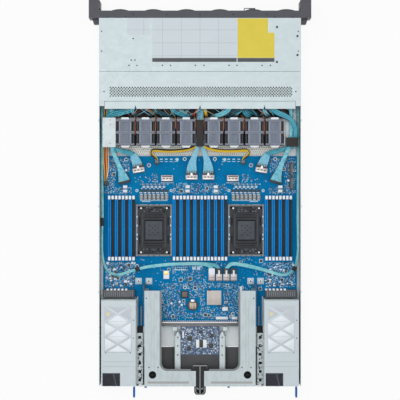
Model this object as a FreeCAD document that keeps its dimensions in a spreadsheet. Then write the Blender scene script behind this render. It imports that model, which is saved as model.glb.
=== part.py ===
import FreeCAD, Part
import math
import os

import Sketcher
from FreeCAD import Rotation, Vector

# A one-unit rack server with its rear cover off. The front faces -Y, +Z is up, and the origin is
# the middle of the case's underside. Left and right are as seen by someone facing the front.

# Driving dimensions, in millimetres unless a name says otherwise
SIZES = {
    # Case
    "chassis_width": 438.0,
    "chassis_depth": 815.0,
    "chassis_height": 43.5,
    "sheet": 1.0,
    "front_frame_depth": 16.0,
    "front_cover_depth": 116.0,
    "cover_seam": 0.6,
    "mid_cover_depth": 63.7,
    "cover_lip_depth": 17.0,
    "cover_lip_margin": 11.5,
    "cover_lip_overlap": 2.0,
    "cover_side_depth": 11.0,
    "lip_notch_width": 5.0,
    "lip_notch_depth": 8.0,
    "lip_notch_spacing": 140.0,
    "vent_pitch": 6.0,
    "vent_half_diagonal": 1.5,
    "vent_row_pitch": 3.1,
    "vent_margin": 19.0,
    "vent_setback": 43.7,
    "rail_pin_radius": 2.5,
    "rail_pin_length": 2.5,
    "rail_pin_spacing": 187.5,
    "rail_pin_shift": 17.0,
    "rail_pin_rise": 21.75,
    "standoff_height": 5.0,
    "standoff_radius": 3.0,
    # Drive bays and trays
    "bay_columns": 6,
    "cage_sheet": 0.8,
    "cage_margin": 1.4,
    "cage_depth": 108.0,
    "slide_gap": 0.3,
    "bezel_depth": 9.0,
    "bezel_lip": 1.5,
    "tray_rail": 0.6,
    "tray_rail_height": 14.0,
    "drive_setback": 1.0,
    "drive_length": 100.5,
    "drive_height": 15.0,
    "release_width": 10.0,
    "release_height": 8.0,
    "release_inset": 8.0,
    "lever_length": 40.0,
    "lever_inset": 8.5,
    "lever_half_depth": 2.0,
    "lever_bow": 3.8,
    "lever_gap": 0.4,
    "trunnion_radius": 1.0,
    "trunnion_length": 1.2,
    "pivot_gap": 0.06,
    "tag_width": 25.0,
    "tag_length": 58.0,
    "tag_reach": 8.4,
    "tag_rim": 1.6,
    "tag_loop_width": 10.0,
    "tag_loop_depth": 5.2,
    "backplane_thick": 2.4,
    "backplane_plug_depth": 5.0,
    "backplane_plug_width": 44.0,
    "backplane_plug_height": 6.0,
    "backplane_vent_width": 40.0,
    "backplane_vent_height": 5.0,
    # Rack ears
    "ear_width": 22.3,
    "ear_depth": 44.0,
    "ear_bulge": 2.2,
    "ear_bevel": 7.0,
    "ear_flange": 4.0,
    "ear_hook_depth": 12.0,
    "ear_hook_reach": 16.0,
    "ear_hook_height": 14.0,
    "rack_hole_reach": 13.55,
    "rack_hole_rise": 31.75,
    "rack_hole_radius": 3.5,
    "rack_bore_radius": 4.8,
    "button_radius": 3.8,
    "button_gap": 0.2,
    "button_depth": 6.0,
    "button_reach": 1.0,
    "button_travel": 1.5,
    # Fans
    "fan_size": 40.0,
    "fan_length": 56.0,
    "fan_pitch": 44.2,
    "fan_centre_gap": 59.8,
    "fan_row_start": 236.0,
    "fans_per_side": 4,
    "fan_bore_gap": 1.4,
    "fan_flange": 4.0,
    "fan_spine": 22.0,
    "fan_barrel_inset": 0.4,
    "fan_hub_radius": 9.0,
    "fan_strut": 3.0,
    "fan_strut_depth": 6.0,
    "shaft_radius": 1.5,
    "shaft_gap": 0.08,
    "rotor_gap": 0.8,
    "blade_count": 5,
    "blade_thick": 1.2,
    "blade_rise": 4.0,
    "blade_tip_gap": 1.6,
    "fan_base_front": 6.0,
    "fan_base_rear": 20.0,
    "shield_width": 28.5,
    "shield_gap": 0.6,
    "shield_drop": 2.0,
    # Main board
    "board_start": 314.5,
    "board_depth": 310.0,
    "board_tongue": 62.0,
    "board_margin": 5.5,
    "board_thick": 2.2,
    "dimm_pitch": 7.55,
    "dimm_centre": 157.5,
    "dimm_bar_length": 125.0,
    "dimm_width": 6.4,
    "dimm_height": 10.0,
    "dimm_slot_width": 1.6,
    "dimm_slot_depth": 6.0,
    "dimm_slot_margin": 2.5,
    "dimm_foot_length": 8.0,
    "dimm_foot_height": 2.4,
    "latch_width": 5.0,
    "latch_radius": 2.3,
    "latch_height": 13.0,
    "latch_gap": 0.3,
    "latch_finger": 3.2,
    "latch_finger_height": 4.0,
    "side_slots": 8,
    "socket_gap": 1.2,
    "socket_frame_width": 78.6,
    "socket_frame_length": 113.0,
    "socket_frame_height": 5.0,
    "socket_frame_rim": 4.2,
    "socket_shift": 5.0,
    "socket_post_radius": 2.4,
    "socket_post_rise": 4.0,
    "socket_clip_width": 4.4,
    "socket_clip_depth": 3.4,
    "socket_clip_rise": 1.2,
    "cover_gap": 0.4,
    "cover_base_height": 6.0,
    "cover_step_inset": 7.0,
    "cover_step_height": 2.0,
    "cover_recess_width": 38.0,
    "cover_recess_length": 46.0,
    "cover_recess_depth": 1.2,
    "cover_corner": 6.0,
    # Power supplies
    "psu_width": 75.0,
    "psu_length": 188.0,
    "psu_height": 40.0,
    "psu_side_gap": 3.5,
    "psu_fan_inset": 3.0,
    "psu_fan_size": 38.0,
    "psu_fan_length": 28.5,
    "psu_fan_seat": 0.2,
    "psu_inlet_width": 25.0,
    "psu_inlet_height": 17.0,
    "psu_inlet_depth": 16.0,
    "psu_inlet_inset": 8.5,
    "psu_inlet_drop": 1.0,
    "psu_tongue_length": 8.0,
    "psu_tongue_width": 52.0,
    "psu_tongue_thick": 1.6,
    "psu_release_inset": 4.4,
    "psu_release_half": 0.9,
    "psu_release_pivot": 1.8,
    "psu_release_height": 12.0,
    "psu_release_reach": 26.5,
    "psu_release_seat": 4.0,
    "psu_wall_gap": 0.5,
    "psu_guide_width": 13.0,
    "psu_guide_rise": 22.0,
    "psu_guide_length": 112.0,
    "psu_guide_hole": 6.0,
    "psu_guide_holes": 6,
    "press_inset": 10.5,
    "press_width": 56.5,
    "press_length": 43.0,
    "press_start": 23.5,
    "press_pitch": 44.5,
    "press_band": 3.2,
    "press_rise": 0.4,
    # Riser bracket and card bay
    "bracket_half_width": 120.5,
    "bracket_length": 207.5,
    "bracket_arm": 33.0,
    "bracket_bar": 33.5,
    "bracket_corner": 17.0,
    "bracket_hem": 4.0,
    "bracket_rim": 4.0,
    "bracket_strap": 26.0,
    "knob_radius": 8.2,
    "knob_inset": 17.5,
    "knob_setback": 25.0,
    "knob_drop": 3.0,
    "stem_half_width": 8.8,
    "grip_half_width": 15.5,
    "grip_length": 9.0,
    "grip_travel": 3.0,
    "grip_gap": 0.3,
    "pull_half_width": 12.5,
    "pull_length": 18.0,
    "pull_drop": 8.0,
    "riser_thick": 1.6,
    "riser_length": 92.0,
    "riser_socket_width": 7.0,
    "riser_socket_height": 9.0,
    "riser_slot_depth": 8.5,
    "riser_slot_height": 7.0,
    "riser_slot_rise": 7.0,
    "riser_slot_margin": 9.0,
    "riser_slot_mouth": 1.8,
    "riser_slot_wall": 2.0,
    "card_half_width": 42.5,
    "card_thick": 1.6,
    "card_rise": 6.0,
    "card_rail_width": 11.5,
    "card_rail_start": 12.0,
    "card_rail_rise": 4.0,
    "port_width": 15.0,
    "port_height": 12.0,
    "port_depth": 19.0,
    "port_wall": 1.0,
    "port_pitch": 18.0,
    "port_count": 4,
    "card_connector_depth": 10.0,
    "card_connector_height": 11.0,
    "card_connector_half": 84.0,
    # Components on the main board
    "choke_size": 8.0,
    "choke_length": 10.5,
    "choke_pitch": 9.2,
    "choke_count": 7,
    "choke_height": 7.0,
    "choke_clear": 11.0,
    "capacitor_radius": 3.2,
    "capacitor_height": 6.0,
    "capacitor_pitch": 8.8,
    "capacitor_count": 6,
    "capacitor_clear": 14.3,
    "plug_width": 26.0,
    "plug_length": 14.0,
    "plug_height": 9.0,
    "inner_plug_x": 18.3,
    "inner_plug_y": 44.6,
    "spare_plug_x": 72.0,
    "spare_plug_y": 48.0,
    "outer_plug_x": 134.8,
    "outer_plug_y": 29.0,
    "outer_plug_turn": 10.0,
    "far_plug_x": 166.5,
    "far_plug_y": 52.0,
    "far_plug_turn": 15.0,
    "fan_plug_x": 94.5,
    "fan_plug_y": 14.0,
    "fan_plug_width": 10.0,
    "fan_plug_length": 8.0,
    "fan_plug_height": 8.0,
    "small_plug_x": 25.6,
    "small_plug_pitch": 16.1,
    "small_plug_width": 13.6,
    "small_plug_length": 28.0,
    "small_plug_setback": 50.0,
    "heatsink_size": 31.0,
    "heatsink_height": 8.0,
    "fin_count": 8,
    "chip_size": 16.0,
    "chip_height": 2.0,
    "battery_radius": 11.0,
    "battery_height": 6.0,
    "dock_depth": 18.0,
    "dock_height": 20.0,
    "dock_inset": 3.0,
}


class Formula:
    """A size worked out from the sheet: its text as an expression, and its value as it stands."""

    def __init__(self, text, value):
        self.text = text
        self.value = value

    @staticmethod
    def of(thing):
        return thing if isinstance(thing, Formula) else Formula(repr(float(thing)), float(thing))

    def __add__(self, other):
        other = Formula.of(other)
        return Formula(f"({self.text} + {other.text})", self.value + other.value)

    def __sub__(self, other):
        other = Formula.of(other)
        return Formula(f"({self.text} - {other.text})", self.value - other.value)

    def __mul__(self, other):
        other = Formula.of(other)
        return Formula(f"({self.text} * {other.text})", self.value * other.value)

    def __truediv__(self, other):
        other = Formula.of(other)
        return Formula(f"({self.text} / {other.text})", self.value / other.value)

    def __radd__(self, other):
        return Formula.of(other) + self

    def __rsub__(self, other):
        return Formula.of(other) - self

    def __rmul__(self, other):
        return Formula.of(other) * self

    def __neg__(self):
        return Formula(f"(-{self.text})", -self.value)


class SizeTable:
    """The sheet of driving dimensions, each read as a Formula by its name."""

    def __init__(self, document, sizes):
        self.cells = document.addObject("Spreadsheet::Sheet", "dim")
        for row, (name, number) in enumerate(sizes.items(), 1):
            self.cells.set(f"A{row}", name)
            self.cells.set(f"B{row}", str(number))
            self.cells.setAlias(f"B{row}", name)
        document.recompute()

    def __getattr__(self, name):
        return Formula(f"dim.{name}", float(getattr(self.cells, name)))


doc = FreeCAD.newDocument("rack_server")
dim = SizeTable(doc, SIZES)
nodes = {}


def tie(thing, prop, size):
    """Bind one property of an object to a size."""
    thing.setExpression(prop, Formula.of(size).text)


def place(thing, x=0, y=0, z=0):
    """Bind an object's position to sizes."""
    for axis, size in zip("xyz", (x, y, z)):
        tie(thing, f"Placement.Base.{axis}", size)
    return thing


def about(middle, width):
    """The low and high ends of a span of that width about its middle."""
    return middle - width / 2, middle + width / 2


def block(name, x, y, z):
    """A box given by its low and high ends along each axis."""
    solid = doc.addObject("Part::Box", name)
    for side, (low, high) in zip(("Length", "Width", "Height"), (x, y, z)):
        tie(solid, side, Formula.of(high) - low)
    return place(solid, x[0], y[0], z[0])


TURNS = {0: Rotation(Vector(0, 1, 0), 90), 1: Rotation(Vector(1, 0, 0), -90), 2: Rotation()}


def rod(name, x, y, z, radius):
    """A cylinder: the one place given as a pair of ends is the one along its axis."""
    solid = doc.addObject("Part::Cylinder", name)
    spans = (x, y, z)
    along = next(i for i, span in enumerate(spans) if isinstance(span, tuple))
    low, high = spans[along]
    tie(solid, "Radius", radius)
    tie(solid, "Height", Formula.of(high) - low)
    solid.Placement = FreeCAD.Placement(Vector(), TURNS[along])
    return place(solid, *(span[0] if isinstance(span, tuple) else span for span in spans))


def hex_post(name, x, y, z, radius):
    """An upright six-sided post between two heights."""
    solid = doc.addObject("Part::Prism", name)
    solid.Polygon = 6
    tie(solid, "Circumradius", radius)
    tie(solid, "Height", Formula.of(z[1]) - z[0])
    return place(solid, x, y, z[0])


def join(name, parts):
    """One solid fused from parts that meet."""
    solid = doc.addObject("Part::MultiFuse", name)
    solid.Shapes = parts
    return solid


def cut(name, base, tools):
    """A base with one tool or more taken out of it."""
    solid = doc.addObject("Part::Cut", name)
    solid.Base = base
    solid.Tool = tools[0] if len(tools) == 1 else join(f"{name}_tools", tools)
    return solid


def together(name, parts):
    """Separate solids kept as one group."""
    group = doc.addObject("Part::Compound", name)
    group.Links = parts
    return group


def node(name, thing):
    """Name the object that stands for one sub-part."""
    thing.Label = name
    nodes[name] = thing
    return thing


def origin_part(body, role):
    return next(f for f in body.Origin.OriginFeatures if f.Role == role)


def new_body(name):
    return doc.addObject("PartDesign::Body", name)


def sketch_on(body, role, offset=0):
    """A sketch on one of the body's origin planes, moved along that plane's normal."""
    sketch = body.newObject("Sketcher::SketchObject", f"{body.Name}_sketch")
    sketch.AttachmentSupport = [(origin_part(body, role), "")]
    sketch.MapMode = "FlatFace"
    tie(sketch, "AttachmentOffset.Base.z", offset)
    return sketch


def pin_point(sketch, geometry, end, x, y):
    """Hold one end of a line or arc at a place given by sizes."""
    for kind, size in (("DistanceX", Formula.of(x)), ("DistanceY", Formula.of(y))):
        index = sketch.addConstraint(Sketcher.Constraint(kind, -1, 1, geometry, end, size.value))
        tie(sketch, f"Constraints[{index}]", size)


def vector(x, y):
    return Vector(Formula.of(x).value, Formula.of(y).value, 0)


def draw_outline(sketch, corners):
    """A closed outline of straight runs through corners given by sizes."""
    first = sketch.GeometryCount
    count = len(corners)
    for i in range(count):
        ends = vector(*corners[i]), vector(*corners[(i + 1) % count])
        sketch.addGeometry(Part.LineSegment(*ends), False)
    for i in range(count):
        following = first + (i + 1) % count
        sketch.addConstraint(Sketcher.Constraint("Coincident", first + i, 2, following, 1))
        pin_point(sketch, first + i, 1, *corners[i])


def draw_circle(sketch, x, y, radius):
    size = Formula.of(radius)
    circle = Part.Circle(vector(x, y), Vector(0, 0, 1), size.value)
    geometry = sketch.addGeometry(circle, False)
    index = sketch.addConstraint(Sketcher.Constraint("Radius", geometry, size.value))
    tie(sketch, f"Constraints[{index}]", size)
    pin_point(sketch, geometry, 3, x, y)


def pad(body, sketch, length, against=False):
    """Raise a sketch along its normal, or against it."""
    feature = body.newObject("PartDesign::Pad", f"{body.Name}_pad")
    feature.Profile = sketch
    feature.Reversed = against
    tie(feature, "Length", length)
    return feature


def pocket(body, sketch, depth, along=False):
    """Cut a sketch against its normal, or along it."""
    feature = body.newObject("PartDesign::Pocket", f"{body.Name}_pocket")
    feature.Profile = sketch
    feature.Reversed = along
    tie(feature, "Length", depth)
    return feature


def repeat_along_x(body, features, pitch, count):
    """Repeat features in a row along X."""
    row = body.newObject("PartDesign::LinearPattern", f"{body.Name}_row")
    row.Originals = features
    row.Direction = (origin_part(body, "X_Axis"), [""])
    tie(row, "Length", pitch * (count - 1))
    tie(row, "Occurrences", count)
    body.Tip = row
    return row


def upright_edges(feature, places):
    """Names of a feature's upright edges that stand at places given by sizes."""
    names = []
    for i, edge in enumerate(feature.Shape.Edges, 1):
        low, high = edge.Vertexes[0].Point, edge.Vertexes[-1].Point
        for x, y in places:
            off = (Vector(low.x, low.y, 0) - vector(x, y)).Length
            if off < 0.01 and abs(low.z - high.z) > 0.01 and (high - low).cross(Vector(0, 0, 1)).Length < 0.01:
                names.append(f"Edge{i}")
    return names


def round_corners(body, feature, places, radius):
    """Round a feature's upright corners at those places."""
    doc.recompute()
    fillet = body.newObject("PartDesign::Fillet", f"{body.Name}_fillet")
    fillet.Base = (feature, upright_edges(feature, places))
    tie(fillet, "Radius", radius)
    return fillet


# Places that several sub-parts share
HALF_WIDTH = dim.chassis_width / 2
INNER_HALF = HALF_WIDTH - dim.sheet
FRONT = -dim.chassis_depth / 2
REAR = dim.chassis_depth / 2
TOP = dim.chassis_height
WALL_TOP = TOP - dim.sheet
FLOOR = dim.sheet
SEAM = FRONT + dim.front_frame_depth + dim.front_cover_depth
BOARD_LOW = FLOOR + dim.standoff_height
BOARD_TOP = BOARD_LOW + dim.board_thick
BOARD_FRONT = FRONT + dim.board_start
BOARD_STEP = BOARD_FRONT + dim.board_depth
BOARD_REAR = BOARD_STEP + dim.board_tongue
BOARD_HALF = INNER_HALF - dim.board_margin
FAN_FRONT = FRONT + dim.fan_row_start
FAN_REAR = FAN_FRONT + dim.fan_length
FAN_LOW = FLOOR + dim.sheet
FAN_AXIS = FAN_LOW + dim.fan_size / 2
PSU_OUTER = INNER_HALF - dim.psu_side_gap
PSU_INNER = PSU_OUTER - dim.psu_width
PSU_FRONT = REAR - dim.psu_length
PSU_LOW = FLOOR + dim.slide_gap
PSU_TOP = PSU_LOW + dim.psu_height
PSU_WALL = PSU_INNER - dim.psu_wall_gap
CENTRE_HALF = dim.dimm_pitch * dim.side_slots
SOCKET_X = CENTRE_HALF + dim.socket_gap + dim.socket_frame_width / 2
BANK_SIDE = CENTRE_HALF + dim.socket_gap * 2 + dim.socket_frame_width
DIMM_Y = BOARD_FRONT + dim.dimm_centre
SOCKET_Y = DIMM_Y + dim.socket_shift
MID_HEIGHT = TOP / 2
COLUMNS = int(dim.bay_columns.value)
BAY_PITCH = (INNER_HALF * 2 - dim.cage_margin * 2) / dim.bay_columns
TRAY_WIDTH = BAY_PITCH - dim.cage_sheet - dim.slide_gap * 2
BACKPLANE = FRONT + dim.bezel_depth + dim.drive_setback + dim.drive_length + dim.slide_gap + dim.backplane_plug_depth
SIDES = {"left": -1, "right": 1}


def bay_centre(column):
    """Middle of a column of drive bays, counted from the left."""
    return BAY_PITCH * (column + 0.5) - BAY_PITCH * dim.bay_columns / 2


def bay_span(row):
    """Heights between which a tray of the lower row, 0, or the upper row, 1, slides."""
    if row == 0:
        return FLOOR + dim.slide_gap, MID_HEIGHT - dim.cage_sheet / 2 - dim.slide_gap
    return MID_HEIGHT + dim.cage_sheet / 2 + dim.slide_gap, WALL_TOP - dim.slide_gap


# Case

def make_rear_panel():
    """Rear wall between the power supplies, with the card openings and vents."""
    half = PSU_WALL - dim.sheet
    panel = block("rear_wall", (-half, half), (REAR - dim.sheet, REAR), (FLOOR, WALL_TOP))
    through = (REAR - dim.sheet * 2, REAR + dim.sheet)
    card_low = BOARD_TOP - dim.sheet
    card_top = card_low + dim.card_rise + dim.psu_tongue_length
    openings = [block("card_window", (-dim.card_half_width, dim.card_half_width), through, (card_low, card_top))]
    slot_low = card_top + dim.bracket_hem
    slot_top = WALL_TOP - dim.bracket_hem
    for side, sign in SIDES.items():
        edges = sorted((sign * dim.stem_half_width * 3, sign * (half - dim.bracket_hem)), key=lambda f: f.value)
        openings.append(block(f"slot_window_{side}", tuple(edges), through, (slot_low, slot_top)))
        vents = 6
        reach = half - dim.card_half_width - dim.card_rail_width
        for i in range(vents):
            middle = sign * (dim.card_half_width + dim.card_rail_width + reach * ((i + 0.5) / vents))
            openings.append(block(f"vent_{side}", about(middle, dim.card_rise), through, (card_low, card_top)))
    return cut("rear_panel", panel, openings)


def make_chassis_base():
    """Folded tray: floor, side walls, hexagonal standoffs and the pins that carry the slide rails."""
    floor = block("floor", (-HALF_WIDTH, HALF_WIDTH), (FRONT, REAR), (0, FLOOR))
    parts = [floor]
    for side, sign in SIDES.items():
        wall = (INNER_HALF, HALF_WIDTH) if sign > 0 else (-HALF_WIDTH, -INNER_HALF)
        parts.append(block(f"wall_{side}", wall, (FRONT, REAR), (0, WALL_TOP)))
        pin = (HALF_WIDTH - dim.sheet / 2, HALF_WIDTH + dim.rail_pin_length)
        pin = pin if sign > 0 else (-pin[1], -pin[0])
        for i in (-1, 0, 1):
            y = dim.rail_pin_shift + i * dim.rail_pin_spacing
            parts.append(rod(f"rail_pin_{side}", pin, y, dim.rail_pin_rise, dim.rail_pin_radius))
        margin = dim.standoff_radius * 2
        for y in (BOARD_FRONT + margin, DIMM_Y, BOARD_STEP - margin):
            parts.append(hex_post(f"standoff_{side}", sign * (BOARD_HALF - margin), y, (FLOOR, BOARD_LOW),
                                  dim.standoff_radius))
        for y in (BOARD_FRONT + margin, BOARD_STEP, BOARD_REAR - margin):
            parts.append(hex_post(f"standoff_{side}", sign * SOCKET_X, y, (FLOOR, BOARD_LOW), dim.standoff_radius))
    tray = join("case_tray", parts)
    node("chassis_base", together("chassis_base", [tray, make_rear_panel()]))


def make_front_cover():
    """Flat cover over the drive bays, with two countersunk screw holes a side."""
    y = (FRONT + dim.front_frame_depth, SEAM - dim.cover_seam / 2)
    plate = block("front_plate", (-HALF_WIDTH, HALF_WIDTH), y, (WALL_TOP, TOP))
    holes = []
    for sign in SIDES.values():
        for share in (0.25, 0.62):
            depth = y[0] + dim.front_cover_depth * share
            holes.append(rod("cover_hole", sign * (HALF_WIDTH - dim.cover_lip_margin / 2), depth,
                             (WALL_TOP - dim.sheet, TOP + dim.sheet), dim.trunnion_radius * 1.5))
    node("front_cover", cut("front_cover", plate, holes))


def make_mid_cover():
    """Cover over the backplane: a grille of diamond holes, and a lowered lip with three notches."""
    body = new_body("mid_cover")
    front = SEAM + dim.cover_seam / 2
    plate_end = front + dim.mid_cover_depth
    side_end = plate_end + dim.cover_side_depth
    lip_half = HALF_WIDTH - dim.cover_lip_margin
    lip_end = plate_end + dim.cover_lip_depth
    plate = sketch_on(body, "XY_Plane", WALL_TOP)
    draw_outline(plate, [
        (-HALF_WIDTH, front), (HALF_WIDTH, front), (HALF_WIDTH, side_end), (lip_half, side_end),
        (lip_half, plate_end), (-lip_half, plate_end), (-lip_half, side_end), (-HALF_WIDTH, side_end)])
    pad(body, plate, dim.sheet)
    lip = sketch_on(body, "XY_Plane", WALL_TOP - dim.sheet)
    edge = lip_half - dim.cover_seam
    corners = [(-edge, plate_end - dim.cover_lip_overlap), (edge, plate_end - dim.cover_lip_overlap), (edge, lip_end)]
    for middle in (dim.lip_notch_spacing, Formula.of(0), -dim.lip_notch_spacing):
        right, left = middle + dim.lip_notch_width / 2, middle - dim.lip_notch_width / 2
        corners += [(right, lip_end), (middle, lip_end - dim.lip_notch_depth), (left, lip_end)]
    draw_outline(lip, corners + [(-edge, lip_end)])
    pad(body, lip, dim.sheet)
    holes = sketch_on(body, "XY_Plane", TOP)
    half = dim.vent_half_diagonal
    start = -HALF_WIDTH + dim.vent_margin + dim.vent_pitch / 4
    middle_row = front + dim.vent_setback
    for i in range(-3, 4):
        shift = dim.vent_pitch / 2 if i % 2 else Formula.of(0)
        x, y = start + shift, middle_row + i * dim.vent_row_pitch
        draw_outline(holes, [(x - half, y), (x, y - half), (x + half, y), (x, y + half)])
    cell = pocket(body, holes, dim.sheet * 2)
    count = int((2 * (HALF_WIDTH - dim.vent_margin).value) / dim.vent_pitch.value)
    repeat_along_x(body, [cell], dim.vent_pitch, Formula.of(count))
    node("mid_cover", body)


def make_drive_cage():
    """Riveted plates that part the bays, and the dark rail across their tops."""
    y = (FRONT, FRONT + dim.cage_depth)
    rail = block("top_rail", (-HALF_WIDTH, HALF_WIDTH), (FRONT, FRONT + dim.front_frame_depth), (WALL_TOP, TOP))
    plates = [rail]
    for i in range(COLUMNS + 1):
        middle = BAY_PITCH * i - BAY_PITCH * dim.bay_columns / 2
        plates.append(block("divider", about(middle, dim.cage_sheet), y, (FLOOR, WALL_TOP)))
    for i in range(COLUMNS):
        x = about(bay_centre(i), BAY_PITCH - dim.cage_sheet)
        z = about(MID_HEIGHT, dim.cage_sheet)
        shelf = block("shelf", x, y, z)
        if i == TAG_COLUMN:
            slot = block("tag_slot", about(bay_centre(i), dim.tag_width + dim.slide_gap * 2),
                         (FRONT - dim.sheet, FRONT + dim.tag_length + dim.slide_gap),
                         about(MID_HEIGHT, dim.cage_sheet * 2))
            shelf = cut("slotted_shelf", shelf, [slot])
        plates.append(shelf)
    node("drive_cage", together("drive_cage", plates))


TAG_COLUMN = 1


def make_info_tag():
    """Flat pull-out tag in the slot of one shelf, with a finger loop at its front edge."""
    x = about(bay_centre(TAG_COLUMN), dim.tag_width)
    z = about(MID_HEIGHT, dim.cage_sheet)
    plate = block("tag_plate", x, (FRONT - dim.tag_reach, FRONT + dim.tag_length), z)
    loop_end = x[1] - dim.tag_rim
    loop_front = FRONT - dim.tag_reach + dim.tag_rim
    loop = block("tag_loop", (loop_end - dim.tag_loop_width, loop_end),
                 (loop_front, loop_front + dim.tag_loop_depth), about(MID_HEIGHT, dim.cage_sheet * 2))
    node("info_tag", cut("info_tag", plate, [loop]))


def make_backplane():
    """Board behind the drives with a plug for each and air openings between."""
    x = (-INNER_HALF + dim.slide_gap, INNER_HALF - dim.slide_gap)
    y = (BACKPLANE, BACKPLANE + dim.backplane_thick)
    board = block("backplane_board", x, y, (FLOOR, WALL_TOP - dim.sheet))
    vents, plugs = [], []
    for i in range(COLUMNS):
        through = (BACKPLANE - dim.sheet, y[1] + dim.sheet)
        vents.append(block("backplane_vent", about(bay_centre(i), dim.backplane_vent_width), through,
                           about(MID_HEIGHT, dim.backplane_vent_height)))
        for row in (0, 1):
            low = bay_span(row)[0] + dim.bezel_lip
            plugs.append(block("drive_plug", about(bay_centre(i), dim.backplane_plug_width),
                               (BACKPLANE - dim.backplane_plug_depth, BACKPLANE),
                               (low, low + dim.backplane_plug_height)))
    node("backplane", join("backplane", [cut("vented_board", board, vents)] + plugs))


# Drive trays and their levers

def make_tray(number, column, row):
    """Carrier with a recessed front for its lever, two side rails, and the drive between them."""
    middle = bay_centre(column)
    low, high = bay_span(row)
    x = about(middle, TRAY_WIDTH)
    bezel_end = FRONT + dim.bezel_depth
    bezel = block("bezel", x, (FRONT, bezel_end), (low, high))
    hinge_x = x[0] + dim.lever_inset
    hinge_y = FRONT + dim.lever_half_depth + dim.lever_gap / 2
    reach = dim.lever_half_depth + dim.lever_gap
    recess = block("lever_recess", (hinge_x - reach, hinge_x + dim.lever_length + dim.lever_gap),
                   (FRONT - dim.sheet, hinge_y + reach), (low + dim.bezel_lip, high - dim.bezel_lip))
    bearing = rod("lever_bearing", hinge_x, hinge_y, (low - dim.sheet, high + dim.sheet),
                  dim.trunnion_radius + dim.pivot_gap)
    release_x = x[1] - dim.release_inset
    release = block("release_pad", (release_x - dim.release_width, release_x),
                    (FRONT - dim.lever_gap * 2, FRONT), about((low + high) / 2, dim.release_height))
    rail_end = bezel_end + dim.drive_setback + dim.drive_length
    rails = [block("tray_rail", ends, (bezel_end, rail_end), (low, low + dim.tray_rail_height))
             for ends in ((x[0], x[0] + dim.tray_rail), (x[1] - dim.tray_rail, x[1]))]
    carrier = join("carrier", [cut("bezel_front", bezel, [recess, bearing]), release] + rails)
    drive = block("drive", (x[0] + dim.tray_rail, x[1] - dim.tray_rail),
                  (bezel_end + dim.drive_setback, rail_end), (low, low + dim.drive_height))
    name = f"drive_tray_{number}"
    node(name, together(name, [carrier, drive]))
    make_lever(number, hinge_x, hinge_y, low + dim.bezel_lip, high - dim.bezel_lip)


def make_lever(number, hinge_x, hinge_y, low, high):
    """Bowed release lever with a round hinge end and a trunnion into each lip of its bezel."""
    name = f"tray_lever_{number}"
    body = new_body(name)
    half, length = dim.lever_half_depth, dim.lever_length
    plan = sketch_on(body, "XY_Plane", dim.slide_gap)
    back = plan.addGeometry(Part.LineSegment(vector(length, half), vector(0, half)), False)
    barrel = plan.addGeometry(Part.Arc(vector(0, half), vector(-half, 0), vector(0, -half)), False)
    crest = -(half + dim.lever_bow)
    front = plan.addGeometry(Part.Arc(vector(0, -half), vector(length / 2, crest), vector(length, -half)), False)
    tip = plan.addGeometry(Part.LineSegment(vector(length, -half), vector(length, half)), False)
    for a, a_end, b, b_end in ((back, 2, barrel, 1), (barrel, 2, front, 1), (front, 2, tip, 1), (tip, 2, back, 1)):
        plan.addConstraint(Sketcher.Constraint("Coincident", a, a_end, b, b_end))
    pin_point(plan, back, 1, length, half)
    pin_point(plan, barrel, 1, 0, half)
    pin_point(plan, front, 1, 0, -half)
    pin_point(plan, tip, 1, length, -half)
    plan.addConstraint(Sketcher.Constraint("PointOnObject", barrel, 3, -2))
    radius = (length * length / 4 + dim.lever_bow * dim.lever_bow) / (dim.lever_bow * 2)
    index = plan.addConstraint(Sketcher.Constraint("Radius", front, radius.value))
    tie(plan, f"Constraints[{index}]", radius)
    pad(body, plan, high - low - dim.slide_gap * 2)
    trunnion = sketch_on(body, "XY_Plane", -dim.trunnion_length)
    draw_circle(trunnion, 0, 0, dim.trunnion_radius)
    pad(body, trunnion, high - low + dim.trunnion_length * 2)
    node(name, place(body, hinge_x, hinge_y, low))


def make_trays():
    for row in (0, 1):
        for column in range(COLUMNS):
            make_tray(row * COLUMNS + column + 1, column, row)


# Rack ears and the power button

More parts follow.
